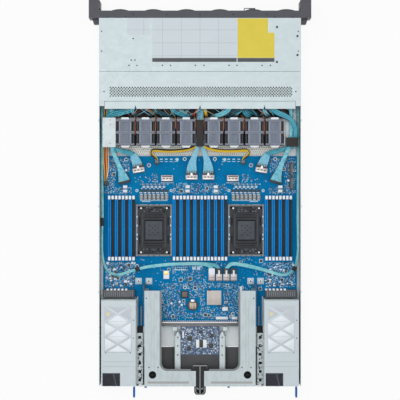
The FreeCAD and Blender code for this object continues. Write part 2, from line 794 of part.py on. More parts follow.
def make_ear(side, sign):
    """Deep plastic ear with two counterbored rack holes, and a hook that finds the rack post."""
    body = new_body(f"ear_{side}")
    outer = HALF_WIDTH + dim.ear_width
    mount = FRONT + dim.front_frame_depth
    nose = mount - dim.ear_depth
    inner = HALF_WIDTH - dim.ear_bulge
    step = FRONT - dim.lever_bow - dim.lever_gap * 2
    corners = [(HALF_WIDTH, mount), (outer, mount), (outer, nose), (HALF_WIDTH + dim.ear_bulge, nose),
               (inner, nose + dim.ear_bevel), (inner, step), (HALF_WIDTH, step)]
    plan = sketch_on(body, "XY_Plane")
    draw_outline(plan, [(sign * x, y) for x, y in corners])
    pad(body, plan, TOP)
    hole_x = sign * (HALF_WIDTH + dim.rack_hole_reach)
    holes = sketch_on(body, "XZ_Plane", -mount - dim.sheet)
    bores = sketch_on(body, "XZ_Plane", -mount + dim.ear_flange)
    for rise in (-1, 1):
        z = MID_HEIGHT + rise * dim.rack_hole_rise / 2
        draw_circle(holes, hole_x, z, dim.rack_hole_radius)
        draw_circle(bores, hole_x, z, dim.rack_bore_radius)
    pocket(body, holes, dim.ear_flange + dim.sheet * 2, along=True)
    pocket(body, bores, dim.ear_depth, along=True)
    if side == BUTTON_SIDE:
        seat = sketch_on(body, "XZ_Plane", -nose + dim.sheet)
        draw_circle(seat, hole_x, MID_HEIGHT, dim.button_radius + dim.button_gap)
        pocket(body, seat, dim.button_depth + dim.button_travel + dim.sheet)
    hook = new_body(f"hook_{side}")
    reach = HALF_WIDTH + dim.ear_hook_reach
    tail = mount + dim.ear_hook_depth
    hook_plan = sketch_on(hook, "XY_Plane", MID_HEIGHT - dim.ear_hook_height / 2)
    draw_outline(hook_plan, [(sign * x, y) for x, y in (
        (HALF_WIDTH, mount), (reach, mount), (reach - dim.ear_flange, tail), (HALF_WIDTH, tail))])
    pad(hook, hook_plan, dim.ear_hook_height)
    return [body, hook]


BUTTON_SIDE = "left"


def make_rack_ears():
    node("rack_ears", together("rack_ears", [piece for item in SIDES.items() for piece in make_ear(*item)]))


def make_power_button():
    """Round push button in the front of one ear."""
    nose = FRONT + dim.front_frame_depth - dim.ear_depth
    x = SIDES[BUTTON_SIDE] * (HALF_WIDTH + dim.rack_hole_reach)
    button = rod("power_button", x, (nose - dim.button_reach - dim.button_travel, nose + dim.button_depth), MID_HEIGHT,
                 dim.button_radius)
    node("power_button", button)


# Fans

def fan_centres():
    """Middle of each fan of the row, from the left."""
    count = int(dim.fans_per_side.value)
    right = [dim.fan_centre_gap / 2 + dim.fan_pitch * i for i in range(count)]
    return [-x for x in reversed(right)] + right


def make_fan_frame(name, x, y, z, size, flanges, struts):
    """Fan housing: flanges, a flat-sided barrel between them, and a hub held on crossed struts."""
    half = size / 2
    across, tall = about(x, size), about(z, size)
    bore = half - dim.fan_bore_gap
    hull = [rod(f"{name}_barrel", x, y, z, half - dim.fan_barrel_inset),
            block(f"{name}_spine", about(x, dim.fan_spine), y, tall),
            block(f"{name}_sides", across, y, about(z, dim.fan_spine))]
    hull += [block(f"{name}_flange", across, ends, tall) for ends in flanges]
    duct = cut(f"{name}_duct", join(f"{name}_hull", hull),
               [rod(f"{name}_bore", x, (y[0] - dim.sheet, y[1] + dim.sheet), z, bore)])
    span = dim.fan_bore_gap / 2 + bore
    spider = [rod(f"{name}_hub", x, struts, z, dim.fan_hub_radius),
              block(f"{name}_strut", about(x, span * 2), struts, about(z, dim.fan_strut)),
              block(f"{name}_strut", about(x, dim.fan_strut), struts, about(z, span * 2))]
    bearing = rod(f"{name}_bearing", x, (struts[0] - dim.sheet, struts[1] + dim.sheet), z,
                  dim.shaft_radius + dim.shaft_gap)
    return cut(name, join(f"{name}_body", [duct] + spider), [bearing])


def make_fan_frames():
    middle = (FAN_FRONT + FAN_REAR) / 2
    flanges = [(FAN_FRONT, FAN_FRONT + dim.fan_flange), about(middle, dim.fan_strut_depth),
               (FAN_REAR - dim.fan_flange, FAN_REAR)]
    frames = [make_fan_frame(f"fan_frame_{i}", x, (FAN_FRONT, FAN_REAR), FAN_AXIS, dim.fan_size, flanges,
                             about(middle, dim.fan_strut_depth))
              for i, x in enumerate(fan_centres(), 1)]
    node("fan_frames", together("fan_frames", frames))


def add_blades(body, stages, bore):
    """A ring of slanted blades about Y for each stage of a fan wheel."""
    blades = []
    root = dim.fan_hub_radius - dim.shaft_radius
    rise, thick = dim.blade_rise, dim.blade_thick
    for stage in stages:
        slant = sketch_on(body, "YZ_Plane", root)
        fore, aft = stage[0] + dim.rotor_gap, stage[1] - dim.rotor_gap
        draw_outline(slant, [(fore, rise), (aft, -rise - thick), (aft, -rise), (fore, rise + thick)])
        blades.append(pad(body, slant, bore - dim.blade_tip_gap - root))
    ring = body.newObject("PartDesign::PolarPattern", f"{body.Name}_ring")
    ring.Originals = blades
    ring.Axis = (origin_part(body, "Y_Axis"), [""])
    ring.Angle = 360
    tie(ring, "Occurrences", dim.blade_count)
    body.Tip = ring


def make_rotor(name, x, z, stages, bore):
    """Hubs on one shaft, each with a ring of slanted blades, turning about Y."""
    body = new_body(name)
    profile = sketch_on(body, "XY_Plane")
    hub, shaft = dim.fan_hub_radius, dim.shaft_radius
    corners = [(0, stages[0][0]), (hub, stages[0][0]), (hub, stages[0][1]), (shaft, stages[0][1])]
    if len(stages) == 2:
        corners += [(shaft, stages[1][0]), (hub, stages[1][0])]
    corners += [(hub if len(stages) == 2 else shaft, stages[-1][-1]), (0, stages[-1][-1])]
    draw_outline(profile, corners)
    turned = body.newObject("PartDesign::Revolution", f"{name}_hub")
    turned.Profile = profile
    turned.ReferenceAxis = (profile, ["V_Axis"])
    turned.Angle = 360
    add_blades(body, stages, bore)
    node(name, place(body, x, 0, z))


def make_fan_rotors():
    middle = (FAN_FRONT + FAN_REAR) / 2
    near = dim.fan_strut_depth / 2 + dim.rotor_gap
    stages = [(FAN_FRONT + dim.rotor_gap, middle - near), (middle + near, FAN_REAR - dim.rotor_gap)]
    bore = dim.fan_size / 2 - dim.fan_bore_gap
    for i, x in enumerate(fan_centres(), 1):
        make_rotor(f"fan_rotor_{i}", x, FAN_AXIS, stages, bore)


# Sheet-metal brackets on the floor

def make_fan_base():
    """Plate that carries the fans, with an upright beside the row at each end."""
    row_half = fan_centres()[-1] + dim.fan_size / 2
    y = (FAN_FRONT - dim.fan_base_front, FAN_REAR + dim.fan_base_rear)
    inner = row_half + dim.shield_gap
    plate = block("fan_plate", (-inner - dim.sheet, inner + dim.sheet), y, (FLOOR, FAN_LOW))
    upright = (FAN_FRONT, FAN_REAR)
    top = WALL_TOP - dim.shield_drop
    parts = [plate]
    for sign in SIDES.values():
        x = (inner, inner + dim.sheet) if sign > 0 else (-inner - dim.sheet, -inner)
        parts.append(block("fan_upright", x, upright, (FLOOR, top)))
    shield = block("cable_shield", (inner, inner + dim.shield_width), (FAN_FRONT - dim.fan_flange, FAN_REAR + dim.fan_flange),
                   (top, top + dim.sheet))
    return join("fan_base", parts + [shield])


def make_psu_wall(side, sign):
    """Upright sheet between a power supply and the card bay, with two windows and a pierced guide."""
    x = (PSU_WALL - dim.sheet, PSU_WALL) if sign > 0 else (-PSU_WALL, dim.sheet - PSU_WALL)
    y = (BOARD_STEP + dim.slide_gap, REAR)
    wall = block(f"psu_sheet_{side}", x, y, (FLOOR, PSU_TOP - dim.shield_drop))
    through = (x[0] - dim.sheet, x[1] + dim.sheet)
    length = y[1] - y[0]
    windows = [block(f"psu_window_{side}", through, about(y[0] + length * share, length / 6),
                     about(MID_HEIGHT, dim.psu_height / 3)) for share in (0.3, 0.68)]
    inner = PSU_WALL - dim.sheet
    reach = sorted((sign * (inner - dim.psu_guide_width), sign * (inner + dim.sheet / 2)), key=lambda f: f.value)
    start, end = REAR - dim.sheet * 2 - dim.psu_guide_length, REAR - dim.sheet * 2
    level = (dim.psu_guide_rise, dim.psu_guide_rise + dim.sheet)
    guide = block(f"psu_guide_{side}", tuple(reach), (start, end), level)
    holes = []
    count = int(dim.psu_guide_holes.value)
    for i in range(count):
        middle = start + dim.psu_guide_length * ((i + 0.5) / count)
        holes.append(block(f"guide_hole_{side}", about(sign * (inner - dim.psu_guide_width / 2), dim.psu_guide_hole),
                           about(middle, dim.psu_guide_hole), (level[0] - dim.sheet, level[1] + dim.sheet)))
    pierced = cut(f"pierced_guide_{side}", guide, holes)
    return join(f"psu_wall_{side}", [cut(f"windowed_wall_{side}", wall, windows), pierced])


def make_card_rail(side, sign):
    """Pointed rail with a web to the floor that guides the edge of the input and output card."""
    body = new_body(f"card_rail_{side}")
    inner = dim.card_half_width + dim.slide_gap
    outer = inner + dim.card_rail_width
    start = BOARD_REAR + dim.card_rail_start
    end = REAR - dim.sheet
    low = BOARD_TOP + dim.card_rise + dim.card_rail_rise
    top = sketch_on(body, "XY_Plane", low)
    tip = (inner + outer) / 2
    shoulder = start + dim.card_rail_width * 0.6
    draw_outline(top, [(sign * x, y) for x, y in (
        (inner, end), (inner, shoulder), (tip, start), (outer, shoulder), (outer, end))])
    pad(body, top, dim.sheet)
    web = sketch_on(body, "XY_Plane", FLOOR)
    draw_outline(web, [(sign * x, y) for x, y in (
        (inner, shoulder), (inner + dim.sheet, shoulder), (inner + dim.sheet, end), (inner, end))])
    pad(body, web, low - FLOOR)
    return body


def make_inner_brackets():
    parts = [make_fan_base()]
    for side, sign in SIDES.items():
        parts += [make_psu_wall(side, sign), make_card_rail(side, sign)]
    node("inner_brackets", together("inner_brackets", parts))


# Main board and what stands on it

def make_motherboard():
    """Board as wide as the case in front of the power supplies, with a tongue between them."""
    body = new_body("motherboard")
    tongue = PSU_WALL - dim.sheet - dim.slide_gap
    step = BOARD_STEP - dim.slide_gap
    plan = sketch_on(body, "XY_Plane", BOARD_LOW)
    draw_outline(plan, [
        (-BOARD_HALF, BOARD_FRONT), (BOARD_HALF, BOARD_FRONT), (BOARD_HALF, step), (tongue, step),
        (tongue, BOARD_REAR), (-tongue, BOARD_REAR), (-tongue, step), (-BOARD_HALF, step)])
    pad(body, plan, dim.board_thick)
    node("motherboard", body)


BANKS = {"left": (-1, 1), "centre": (0, 2), "right": (1, 1)}


def bank_start(side):
    """Middle of the first memory socket of a bank, from the left."""
    half_pitch = dim.dimm_pitch / 2
    if side < 0:
        return -(BANK_SIDE + CENTRE_HALF) + half_pitch
    if side > 0:
        return BANK_SIDE + half_pitch
    return -CENTRE_HALF + half_pitch


def make_dimm_bank(name, side, share):
    """A bank of memory sockets: a slotted bar on a foot at each end for the latch."""
    body = new_body(f"dimm_bank_{name}")
    half, bar = dim.dimm_width / 2, dim.dimm_bar_length / 2
    foot_end = bar + dim.dimm_foot_length
    foot = sketch_on(body, "XY_Plane")
    draw_outline(foot, [(-half, -foot_end), (half, -foot_end), (half, foot_end), (-half, foot_end)])
    base = pad(body, foot, dim.dimm_foot_height)
    bar_plan = sketch_on(body, "XY_Plane")
    draw_outline(bar_plan, [(-half, -bar), (half, -bar), (half, bar), (-half, bar)])
    wall = pad(body, bar_plan, dim.dimm_height)
    slot_half, slot_end = dim.dimm_slot_width / 2, bar - dim.dimm_slot_margin
    slot_plan = sketch_on(body, "XY_Plane", dim.dimm_height)
    draw_outline(slot_plan, [(-slot_half, -slot_end), (slot_half, -slot_end), (slot_half, slot_end),
                             (-slot_half, slot_end)])
    slot = pocket(body, slot_plan, dim.dimm_slot_depth)
    repeat_along_x(body, [base, wall, slot], dim.dimm_pitch, dim.side_slots * share)
    return place(body, bank_start(side), DIMM_Y, BOARD_TOP)


def make_dimm_latches(name, side, share, end):
    """The latches at one end of a bank, all turning about one line across their round feet."""
    body = new_body(f"latches_{name}")
    radius = dim.latch_radius
    profile = sketch_on(body, "YZ_Plane", -dim.latch_width / 2)
    corners = [(radius, dim.latch_height - dim.latch_finger_height),
               (radius + dim.latch_finger, dim.latch_height - dim.latch_finger_height),
               (radius + dim.latch_finger, dim.latch_height), (-radius, dim.latch_height)]
    points = [(end * y, z) for y, z in [(radius, 0)] + corners + [(-radius, 0)]]
    lines = [profile.addGeometry(Part.LineSegment(vector(*a), vector(*b)), False) for a, b in zip(points, points[1:])]
    foot = profile.addGeometry(Part.Arc(vector(*points[-1]), vector(0, -radius), vector(*points[0])), False)
    for a, b in zip(lines, lines[1:]):
        profile.addConstraint(Sketcher.Constraint("Coincident", a, 2, b, 1))
    for line, place_of in zip(lines, points):
        pin_point(profile, line, 1, *place_of)
    pin_point(profile, lines[-1], 2, *points[-1])
    first, last = (1, 2) if end > 0 else (2, 1)
    profile.addConstraint(Sketcher.Constraint("Coincident", foot, first, lines[-1], 2))
    profile.addConstraint(Sketcher.Constraint("Coincident", foot, last, lines[0], 1))
    profile.addConstraint(Sketcher.Constraint("PointOnObject", foot, 3, -1))
    latch = pad(body, profile, dim.latch_width)
    repeat_along_x(body, [latch], dim.dimm_pitch, dim.side_slots * share)
    y = DIMM_Y + end * (dim.dimm_bar_length / 2 + dim.latch_gap + radius)
    return place(body, bank_start(side), y, LATCH_AXIS)


LATCH_AXIS = BOARD_TOP + dim.dimm_foot_height + dim.latch_gap + dim.latch_radius


def make_memory():
    banks = [make_dimm_bank(name, *where) for name, where in BANKS.items()]
    node("dimm_sockets", together("dimm_sockets", banks))
    for end_name, end in (("front", -1), ("rear", 1)):
        latches = [make_dimm_latches(f"{end_name}_{name}", *where, end) for name, where in BANKS.items()]
        node(f"dimm_latches_{end_name}", together(f"dimm_latches_{end_name}", latches))


def make_socket_frame(side, sign):
    """Metal frame round a processor socket, with clips along its sides and a threaded post at each corner."""
    x, y = about(sign * SOCKET_X, dim.socket_frame_width), about(SOCKET_Y, dim.socket_frame_length)
    z = (BOARD_TOP, BOARD_TOP + dim.socket_frame_height)
    rim = dim.socket_frame_rim
    window = block(f"socket_window_{side}", (x[0] + rim, x[1] - rim), (y[0] + rim, y[1] - rim),
                   (z[0] - dim.sheet, z[1] + dim.sheet))
    ring = cut(f"socket_ring_{side}", block(f"socket_plate_{side}", x, y, z), [window])
    posts = [rod("heatsink_post", px, py, (z[0], z[1] + dim.socket_post_rise), dim.socket_post_radius)
             for px in (x[0] + rim / 2, x[1] - rim / 2) for py in (y[0] + rim / 2, y[1] - rim / 2)]
    clips = [block("socket_clip", about(px, dim.socket_clip_depth),
                   about(SOCKET_Y + dim.socket_frame_length * share, dim.socket_clip_width),
                   (z[1], z[1] + dim.socket_clip_rise))
             for px in (x[0] + rim / 2, x[1] - rim / 2) for share in (-0.26, -0.09, 0.085, 0.17)]
    return join(f"socket_frame_{side}", [ring] + posts + clips)


def make_socket_cover(side, sign):
    """Lift-off cover that fills the socket frame: a chamfered base, a step and a sunk middle."""
    name = f"socket_cover_{side}"
    body = new_body(name)
    half_x = dim.socket_frame_width / 2 - dim.socket_frame_rim - dim.cover_gap
    half_y = dim.socket_frame_length / 2 - dim.socket_frame_rim - dim.cover_gap
    corner = dim.cover_corner
    base = sketch_on(body, "XY_Plane")
    draw_outline(base, [
        (corner - half_x, -half_y), (half_x - corner, -half_y), (half_x, corner - half_y), (half_x, half_y - corner),
        (half_x - corner, half_y), (corner - half_x, half_y), (-half_x, half_y - corner), (-half_x, corner - half_y)])
    pad(body, base, dim.cover_base_height)
    step = sketch_on(body, "XY_Plane", dim.cover_base_height)
    step_x, step_y = half_x - dim.cover_step_inset, half_y - dim.cover_step_inset * 2
    draw_outline(step, [(-step_x, -step_y), (step_x, -step_y), (step_x, step_y), (-step_x, step_y)])
    pad(body, step, dim.cover_step_height)
    recess = sketch_on(body, "XY_Plane", dim.cover_base_height + dim.cover_step_height)
    sunk_x, sunk_y = dim.cover_recess_width / 2, dim.cover_recess_length / 2
    draw_outline(recess, [(-sunk_x, -sunk_y), (sunk_x, -sunk_y), (sunk_x, sunk_y), (-sunk_x, sunk_y)])
    pocket(body, recess, dim.cover_recess_depth)
    node(name, place(body, sign * SOCKET_X, SOCKET_Y, BOARD_TOP))


def make_sockets():
    node("cpu_frames", together("cpu_frames", [make_socket_frame(*item) for item in SIDES.items()]))
    for side, sign in SIDES.items():
        make_socket_cover(side, sign)


def on_board(name, x, y, width, length, height):
    """A box that stands on the main board about a place."""
    return block(name, about(x, width), about(y, length), (BOARD_TOP, BOARD_TOP + height))


def turned_plug(name, sign, x, y, turn):
    """A plug that stands on the board turned out toward the nearer wall."""
    body = new_body(name)
    half_x, half_y = dim.plug_width / 2, dim.plug_length / 2
    plan = sketch_on(body, "XY_Plane")
    draw_outline(plan, [(-half_x, -half_y), (half_x, -half_y), (half_x, half_y), (-half_x, half_y)])
    pad(body, plan, dim.plug_height)
    body.Placement = FreeCAD.Placement(Vector(), Rotation(Vector(0, 0, 1), sign * turn.value))
    return place(body, sign * x, BOARD_FRONT + y, BOARD_TOP)


def make_board_components():
    """Connectors, chokes, chips, heatsink and battery that stand on the main board."""
    parts = []
    choke_y = SOCKET_Y - dim.socket_frame_length / 2 - dim.choke_clear - dim.choke_length / 2
    count = int(dim.choke_count.value)
    for sign in SIDES.values():
        for i in range(count):
            x = sign * SOCKET_X + dim.choke_pitch * (i - (count - 1) / 2)
            parts.append(on_board("choke", x, choke_y, dim.choke_size, dim.choke_length, dim.choke_height))
        cans = int(dim.capacitor_count.value)
        can_y = choke_y - dim.choke_length / 2 - dim.capacitor_clear - dim.capacitor_radius
        for i in range(cans):
            x = sign * SOCKET_X + dim.capacitor_pitch * (i - (cans - 1) / 2)
            parts.append(rod("capacitor", x, can_y, (BOARD_TOP, BOARD_TOP + dim.capacitor_height), dim.capacitor_radius))
        parts.append(on_board("inner_plug", sign * dim.inner_plug_x, BOARD_FRONT + dim.inner_plug_y,
                              dim.plug_width, dim.plug_length, dim.plug_height))
        parts.append(on_board("spare_plug", sign * dim.spare_plug_x, BOARD_FRONT + dim.spare_plug_y,
                              dim.plug_width, dim.plug_length, dim.plug_height))
        parts.append(turned_plug("outer_plug", sign, dim.outer_plug_x, dim.outer_plug_y, dim.outer_plug_turn))
        parts.append(turned_plug("far_plug", sign, dim.far_plug_x, dim.far_plug_y, dim.far_plug_turn))
        parts.append(on_board("fan_plug", sign * dim.fan_plug_x, BOARD_FRONT + dim.fan_plug_y,
                              dim.fan_plug_width, dim.fan_plug_length, dim.fan_plug_height))
        dock_x = sign * (PSU_INNER + PSU_OUTER) / 2
        dock_width = dim.psu_width - dim.dock_inset * 2
        dock_y = BOARD_STEP - dim.slide_gap - dim.dock_depth / 2
        dock = on_board("psu_dock", dock_x, dock_y, dock_width, dim.dock_depth, dim.dock_height)
        tongue = block("dock_slot", about(dock_x, dim.psu_tongue_width + dim.slide_gap * 2),
                       (PSU_FRONT - dim.psu_tongue_length - dim.slide_gap, PSU_FRONT),
                       about(BOARD_TOP + dim.dock_height / 2, dim.psu_tongue_thick + dim.slide_gap * 2))
        parts.append(cut("slotted_dock", dock, [tongue]))
        parts.append(block("riser_socket", about(sign * RISER_X, dim.riser_socket_width), RISER_Y,
                           (BOARD_TOP, BOARD_TOP + dim.riser_socket_height)))
    connector = block("card_connector", (-dim.card_connector_half, dim.card_connector_half),
                      (BOARD_REAR - dim.card_connector_depth, BOARD_REAR),
                      (BOARD_TOP, BOARD_TOP + dim.card_connector_height))
    parts.append(connector)
    row = BOARD_STEP + dim.slide_gap
    sink = on_board("chipset_heatsink", -dim.heatsink_size, row, dim.heatsink_size, dim.heatsink_size,
                    dim.heatsink_height)
    fins = int(dim.fin_count.value)
    grooves = []
    for i in range(fins - 1):
        middle = -dim.heatsink_size + dim.heatsink_size * ((i + 1) / fins - 0.5)
        grooves.append(block("fin_groove", about(middle, dim.heatsink_size / fins * 0.5),
                             about(row, dim.heatsink_size + dim.sheet * 2),
                             (BOARD_TOP + dim.heatsink_height / 4, BOARD_TOP + dim.heatsink_height + dim.sheet)))
    parts.append(cut("finned_heatsink", sink, grooves))
    parts.append(on_board("control_chip", dim.chip_size * 2.1, row - dim.chip_size * 0.45, dim.chip_size, dim.chip_size, dim.chip_height))
    parts.append(rod("battery", dim.chip_size, row + dim.battery_radius * 1.5,
                     (BOARD_TOP, BOARD_TOP + dim.battery_height), dim.battery_radius))
    for i in range(4):
        parts.append(on_board("small_plug", -dim.small_plug_x - i * dim.small_plug_pitch,
                              BOARD_STEP - dim.small_plug_setback, dim.small_plug_width, dim.small_plug_length,
                              dim.plug_height))
    power_x = BOARD_HALF - dim.fan_plug_width * 0.7
    parts.append(on_board("power_plug", power_x, BOARD_FRONT + dim.far_plug_y + dim.fan_plug_length, dim.fan_plug_width,
                          dim.fan_plug_length, dim.fan_plug_height))
    node("board_components", together("board_components", parts))


# Power supplies

def psu_sides(sign):
    """Low and high X of a power supply; both are the same way round."""
    return (PSU_INNER, PSU_OUTER) if sign > 0 else (-PSU_OUTER, -PSU_INNER)


def psu_fan_axis(sign):
    return psu_sides(sign)[1] - dim.psu_fan_inset - dim.psu_fan_size / 2, (PSU_LOW + PSU_TOP) / 2


def make_pressed_top(side, low):
    """Raised facets of a power supply's top: four round each of two crossed bands."""
    body = new_body(f"psu_press_{side}")
    sketch = sketch_on(body, "XY_Plane", PSU_TOP)
    left, band = low + dim.press_inset, dim.press_band
    right = left + dim.press_width
    middle = left + dim.press_width / 2
    for i in range(2):
        front = PSU_FRONT + dim.press_start + dim.press_pitch * i
        rear = front + dim.press_length
        centre = front + dim.press_length / 2
        for edge, away in ((front, -band), (rear, band)):
            draw_outline(sketch, [(left + band * 2, edge), (right - band * 2, edge), (middle, centre + away)])
        for edge, away in ((left, band * -1.5), (right, band * 1.5)):
            draw_outline(sketch, [(edge, front + band), (edge, rear - band), (middle + away, centre)])
    pad(body, sketch, dim.press_rise)
    return body


def make_psu(side, sign):
    """Power supply: a steel case with a fan in its rear corner, a mains inlet and a card-edge tongue."""
    x, z = psu_sides(sign), (PSU_LOW, PSU_TOP)
    case = block(f"psu_case_{side}", x, (PSU_FRONT, REAR), z)
    fan_x, fan_z = psu_fan_axis(sign)
    seat = dim.psu_fan_size + dim.psu_fan_seat * 2
    fan_start = REAR - dim.psu_fan_length
    notch = block(f"psu_notch_{side}", about(fan_x, seat), (fan_start - dim.psu_fan_seat, REAR + dim.sheet),
                  (PSU_LOW - dim.sheet, PSU_TOP + dim.sheet))
    inlet_x = x[0] + dim.psu_inlet_inset + dim.psu_inlet_width / 2
    inlet = block(f"psu_inlet_{side}", about(inlet_x, dim.psu_inlet_width),
                  (REAR - dim.psu_inlet_depth, REAR + dim.sheet),
                  about(fan_z - dim.psu_inlet_drop, dim.psu_inlet_height))
    pivot_y = REAR - dim.psu_release_seat
    opening = dim.psu_release_pivot + dim.slide_gap
    slot = block(f"psu_slot_{side}", about(x[0] + dim.psu_release_inset, opening * 2),
                 (pivot_y - opening, REAR + dim.sheet), about(fan_z, dim.psu_release_height + dim.slide_gap * 2))
    shell = cut(f"psu_shell_{side}", case, [notch, inlet, slot])
    tongue = block(f"psu_tongue_{side}", about((x[0] + x[1]) / 2, dim.psu_tongue_width),
                   (PSU_FRONT - dim.psu_tongue_length, PSU_FRONT),
                   about(BOARD_TOP + dim.dock_height / 2, dim.psu_tongue_thick))
    body = join(f"psu_body_{side}", [shell, tongue, make_pressed_top(side, x[0])])
    frame = make_fan_frame(f"psu_fan_{side}", fan_x, (fan_start, REAR), fan_z, dim.psu_fan_size,
                           [(fan_start, fan_start + dim.fan_flange), (REAR - dim.fan_flange, REAR)],
                           (fan_start, fan_start + dim.fan_strut_depth))
    node(f"psu_{side}", together(f"psu_{side}", [body, frame]))
    hub_start = fan_start + dim.fan_strut_depth + dim.rotor_gap
    make_psu_rotor(f"psu_rotor_{side}", fan_x, fan_z, fan_start, hub_start)
    make_psu_release(side, x[0] + dim.psu_release_inset, pivot_y, fan_z)


def make_psu_rotor(name, x, z, shaft_start, hub_start):
    """Fan wheel of a power supply, on a stub shaft in the fan's hub."""
    body = new_body(name)
    end = REAR - dim.rotor_gap
    hub, shaft = dim.fan_hub_radius, dim.shaft_radius
    profile = sketch_on(body, "XY_Plane")
    draw_outline(profile, [(0, shaft_start), (shaft, shaft_start), (shaft, hub_start), (hub, hub_start), (hub, end),
                           (0, end)])
    turned = body.newObject("PartDesign::Revolution", f"{name}_hub")
    turned.Profile = profile
    turned.ReferenceAxis = (profile, ["V_Axis"])
    turned.Angle = 360
    add_blades(body, [(hub_start, end)], dim.psu_fan_size / 2 - dim.fan_bore_gap)
    node(name, place(body, x, 0, z))


def make_psu_release(side, x, y, z):
    """Flat release lever that turns about an upright pivot in its slot."""
    name = f"psu_release_{side}"
    body = new_body(name)
    half, radius = dim.psu_release_half, dim.psu_release_pivot
    reach = dim.psu_release_seat + dim.psu_release_reach
    barrel = sketch_on(body, "XY_Plane")
    draw_circle(barrel, 0, 0, radius)
    pad(body, barrel, dim.psu_release_height)
    blade = sketch_on(body, "XY_Plane")
    draw_outline(blade, [(-half, 0), (half, 0), (half, reach), (-half, reach)])
    pad(body, blade, dim.psu_release_height)
    node(name, place(body, x, y, z - dim.psu_release_height / 2))


def make_psus():
    for side, sign in SIDES.items():
        make_psu(side, sign)


# Riser bracket and card bay

RISER_X = dim.bracket_half_width + dim.riser_thick / 2
RISER_Y = (BOARD_REAR - dim.riser_length, BOARD_REAR)


def make_riser_slot(sign):
    """Card slot on the inner face of a riser board, its mouth toward the middle of the case."""
    inner = dim.bracket_half_width - dim.riser_slot_depth
    low = BOARD_TOP + dim.riser_socket_height + dim.riser_slot_rise
    y = (RISER_Y[0] + dim.riser_slot_margin, RISER_Y[1] - dim.riser_slot_margin)
    spans = [sorted((sign * near, sign * far), key=lambda f: f.value) for near, far in (
        (inner, dim.bracket_half_width), (inner - dim.sheet, dim.bracket_half_width - dim.riser_slot_wall))]
    shell = block("riser_slot", tuple(spans[0]), y, (low, low + dim.riser_slot_height))
    mouth = block("slot_mouth", tuple(spans[1]), (y[0] + dim.riser_slot_wall, y[1] - dim.riser_slot_wall),
                  about(low + dim.riser_slot_height / 2, dim.riser_slot_mouth))
    return cut("open_riser_slot", shell, [mouth])


def make_bracket_rim(side, sign):
    """Rolled rim along the inner edge of one arm, round its corner and along the bar as far as the latch."""
    body = new_body(f"bracket_rim_{side}")
    edge = dim.bracket_half_width - dim.bracket_arm
    bar = REAR - dim.bracket_bar
    x, y = edge - dim.bracket_rim, bar - dim.bracket_rim
    front, start = REAR - dim.bracket_length, dim.grip_half_width + dim.bracket_rim
    plan = sketch_on(body, "XY_Plane", WALL_TOP)
    draw_outline(plan, [(sign * across, along) for across, along in (
        (x, front), (edge + dim.sheet, front), (edge + dim.sheet, bar + dim.sheet), (start, bar + dim.sheet),
        (start, y), (x, y))])
    rim = pad(body, plan, dim.bracket_hem / 2, against=True)
    body.Tip = round_corners(body, rim, [(sign * x, y)], dim.bracket_corner - dim.bracket_rim)
    return body


def make_riser_bracket():
    """U-shaped bracket with a rolled inner rim, two screw knobs, and the two slotted riser boards it carries."""
    body = new_body("riser_plate")
    half = dim.bracket_half_width
    front = REAR - dim.bracket_length
    inner = half - dim.bracket_arm
    bar = REAR - dim.bracket_bar
    gap = dim.stem_half_width + dim.grip_gap
    plan = sketch_on(body, "XY_Plane", WALL_TOP)
    draw_outline(plan, [
        (-half, front), (-inner, front), (-inner, bar), (-gap, bar), (-gap, REAR), (-half, REAR)])
    draw_outline(plan, [
        (half, front), (inner, front), (inner, bar), (gap, bar), (gap, REAR), (half, REAR)])
    plate = pad(body, plan, dim.sheet)
    rounded = round_corners(body, plate, [(-inner, bar), (inner, bar)], dim.bracket_corner)
    strap = sketch_on(body, "XY_Plane", WALL_TOP - dim.sheet)
    strap_end = REAR - dim.sheet - dim.slide_gap
    draw_outline(strap, [(-dim.bracket_strap, bar), (dim.bracket_strap, bar), (dim.bracket_strap, strap_end),
                         (-dim.bracket_strap, strap_end)])
    pad(body, strap, dim.sheet)
    for sign in SIDES.values():
        hem = sketch_on(body, "XY_Plane", WALL_TOP)
        draw_outline(hem, [(sign * x, y) for x, y in (
            (inner, front), (inner + dim.sheet, front), (inner + dim.sheet, bar - dim.bracket_corner),
            (inner, bar - dim.bracket_corner))])
        pad(body, hem, dim.bracket_hem, against=True)
        flange = sketch_on(body, "XY_Plane", WALL_TOP)
        draw_outline(flange, [(sign * x, y) for x, y in (
            (half - dim.sheet, front), (half, front), (half, BOARD_REAR), (half - dim.sheet, BOARD_REAR))])
        pad(body, flange, RISER_TOP_DROP, against=True)
    sheet = join("riser_sheet", [body] + [make_bracket_rim(*item) for item in SIDES.items()])
    knobs = [rod("screw_knob", sign * (half - dim.knob_inset), REAR - dim.knob_setback,
                 (WALL_TOP - dim.knob_drop, WALL_TOP), dim.knob_radius) for sign in SIDES.values()]
    boards = []
    for sign in SIDES.values():
        x = about(sign * RISER_X, dim.riser_thick)
        boards.append(block("riser_board", x, RISER_Y, (BOARD_TOP + dim.riser_socket_height, WALL_TOP)))
        boards.append(make_riser_slot(sign))
    node("riser_bracket", together("riser_bracket", [sheet] + knobs + boards))
    return rounded


RISER_TOP_DROP = dim.bracket_hem * 2


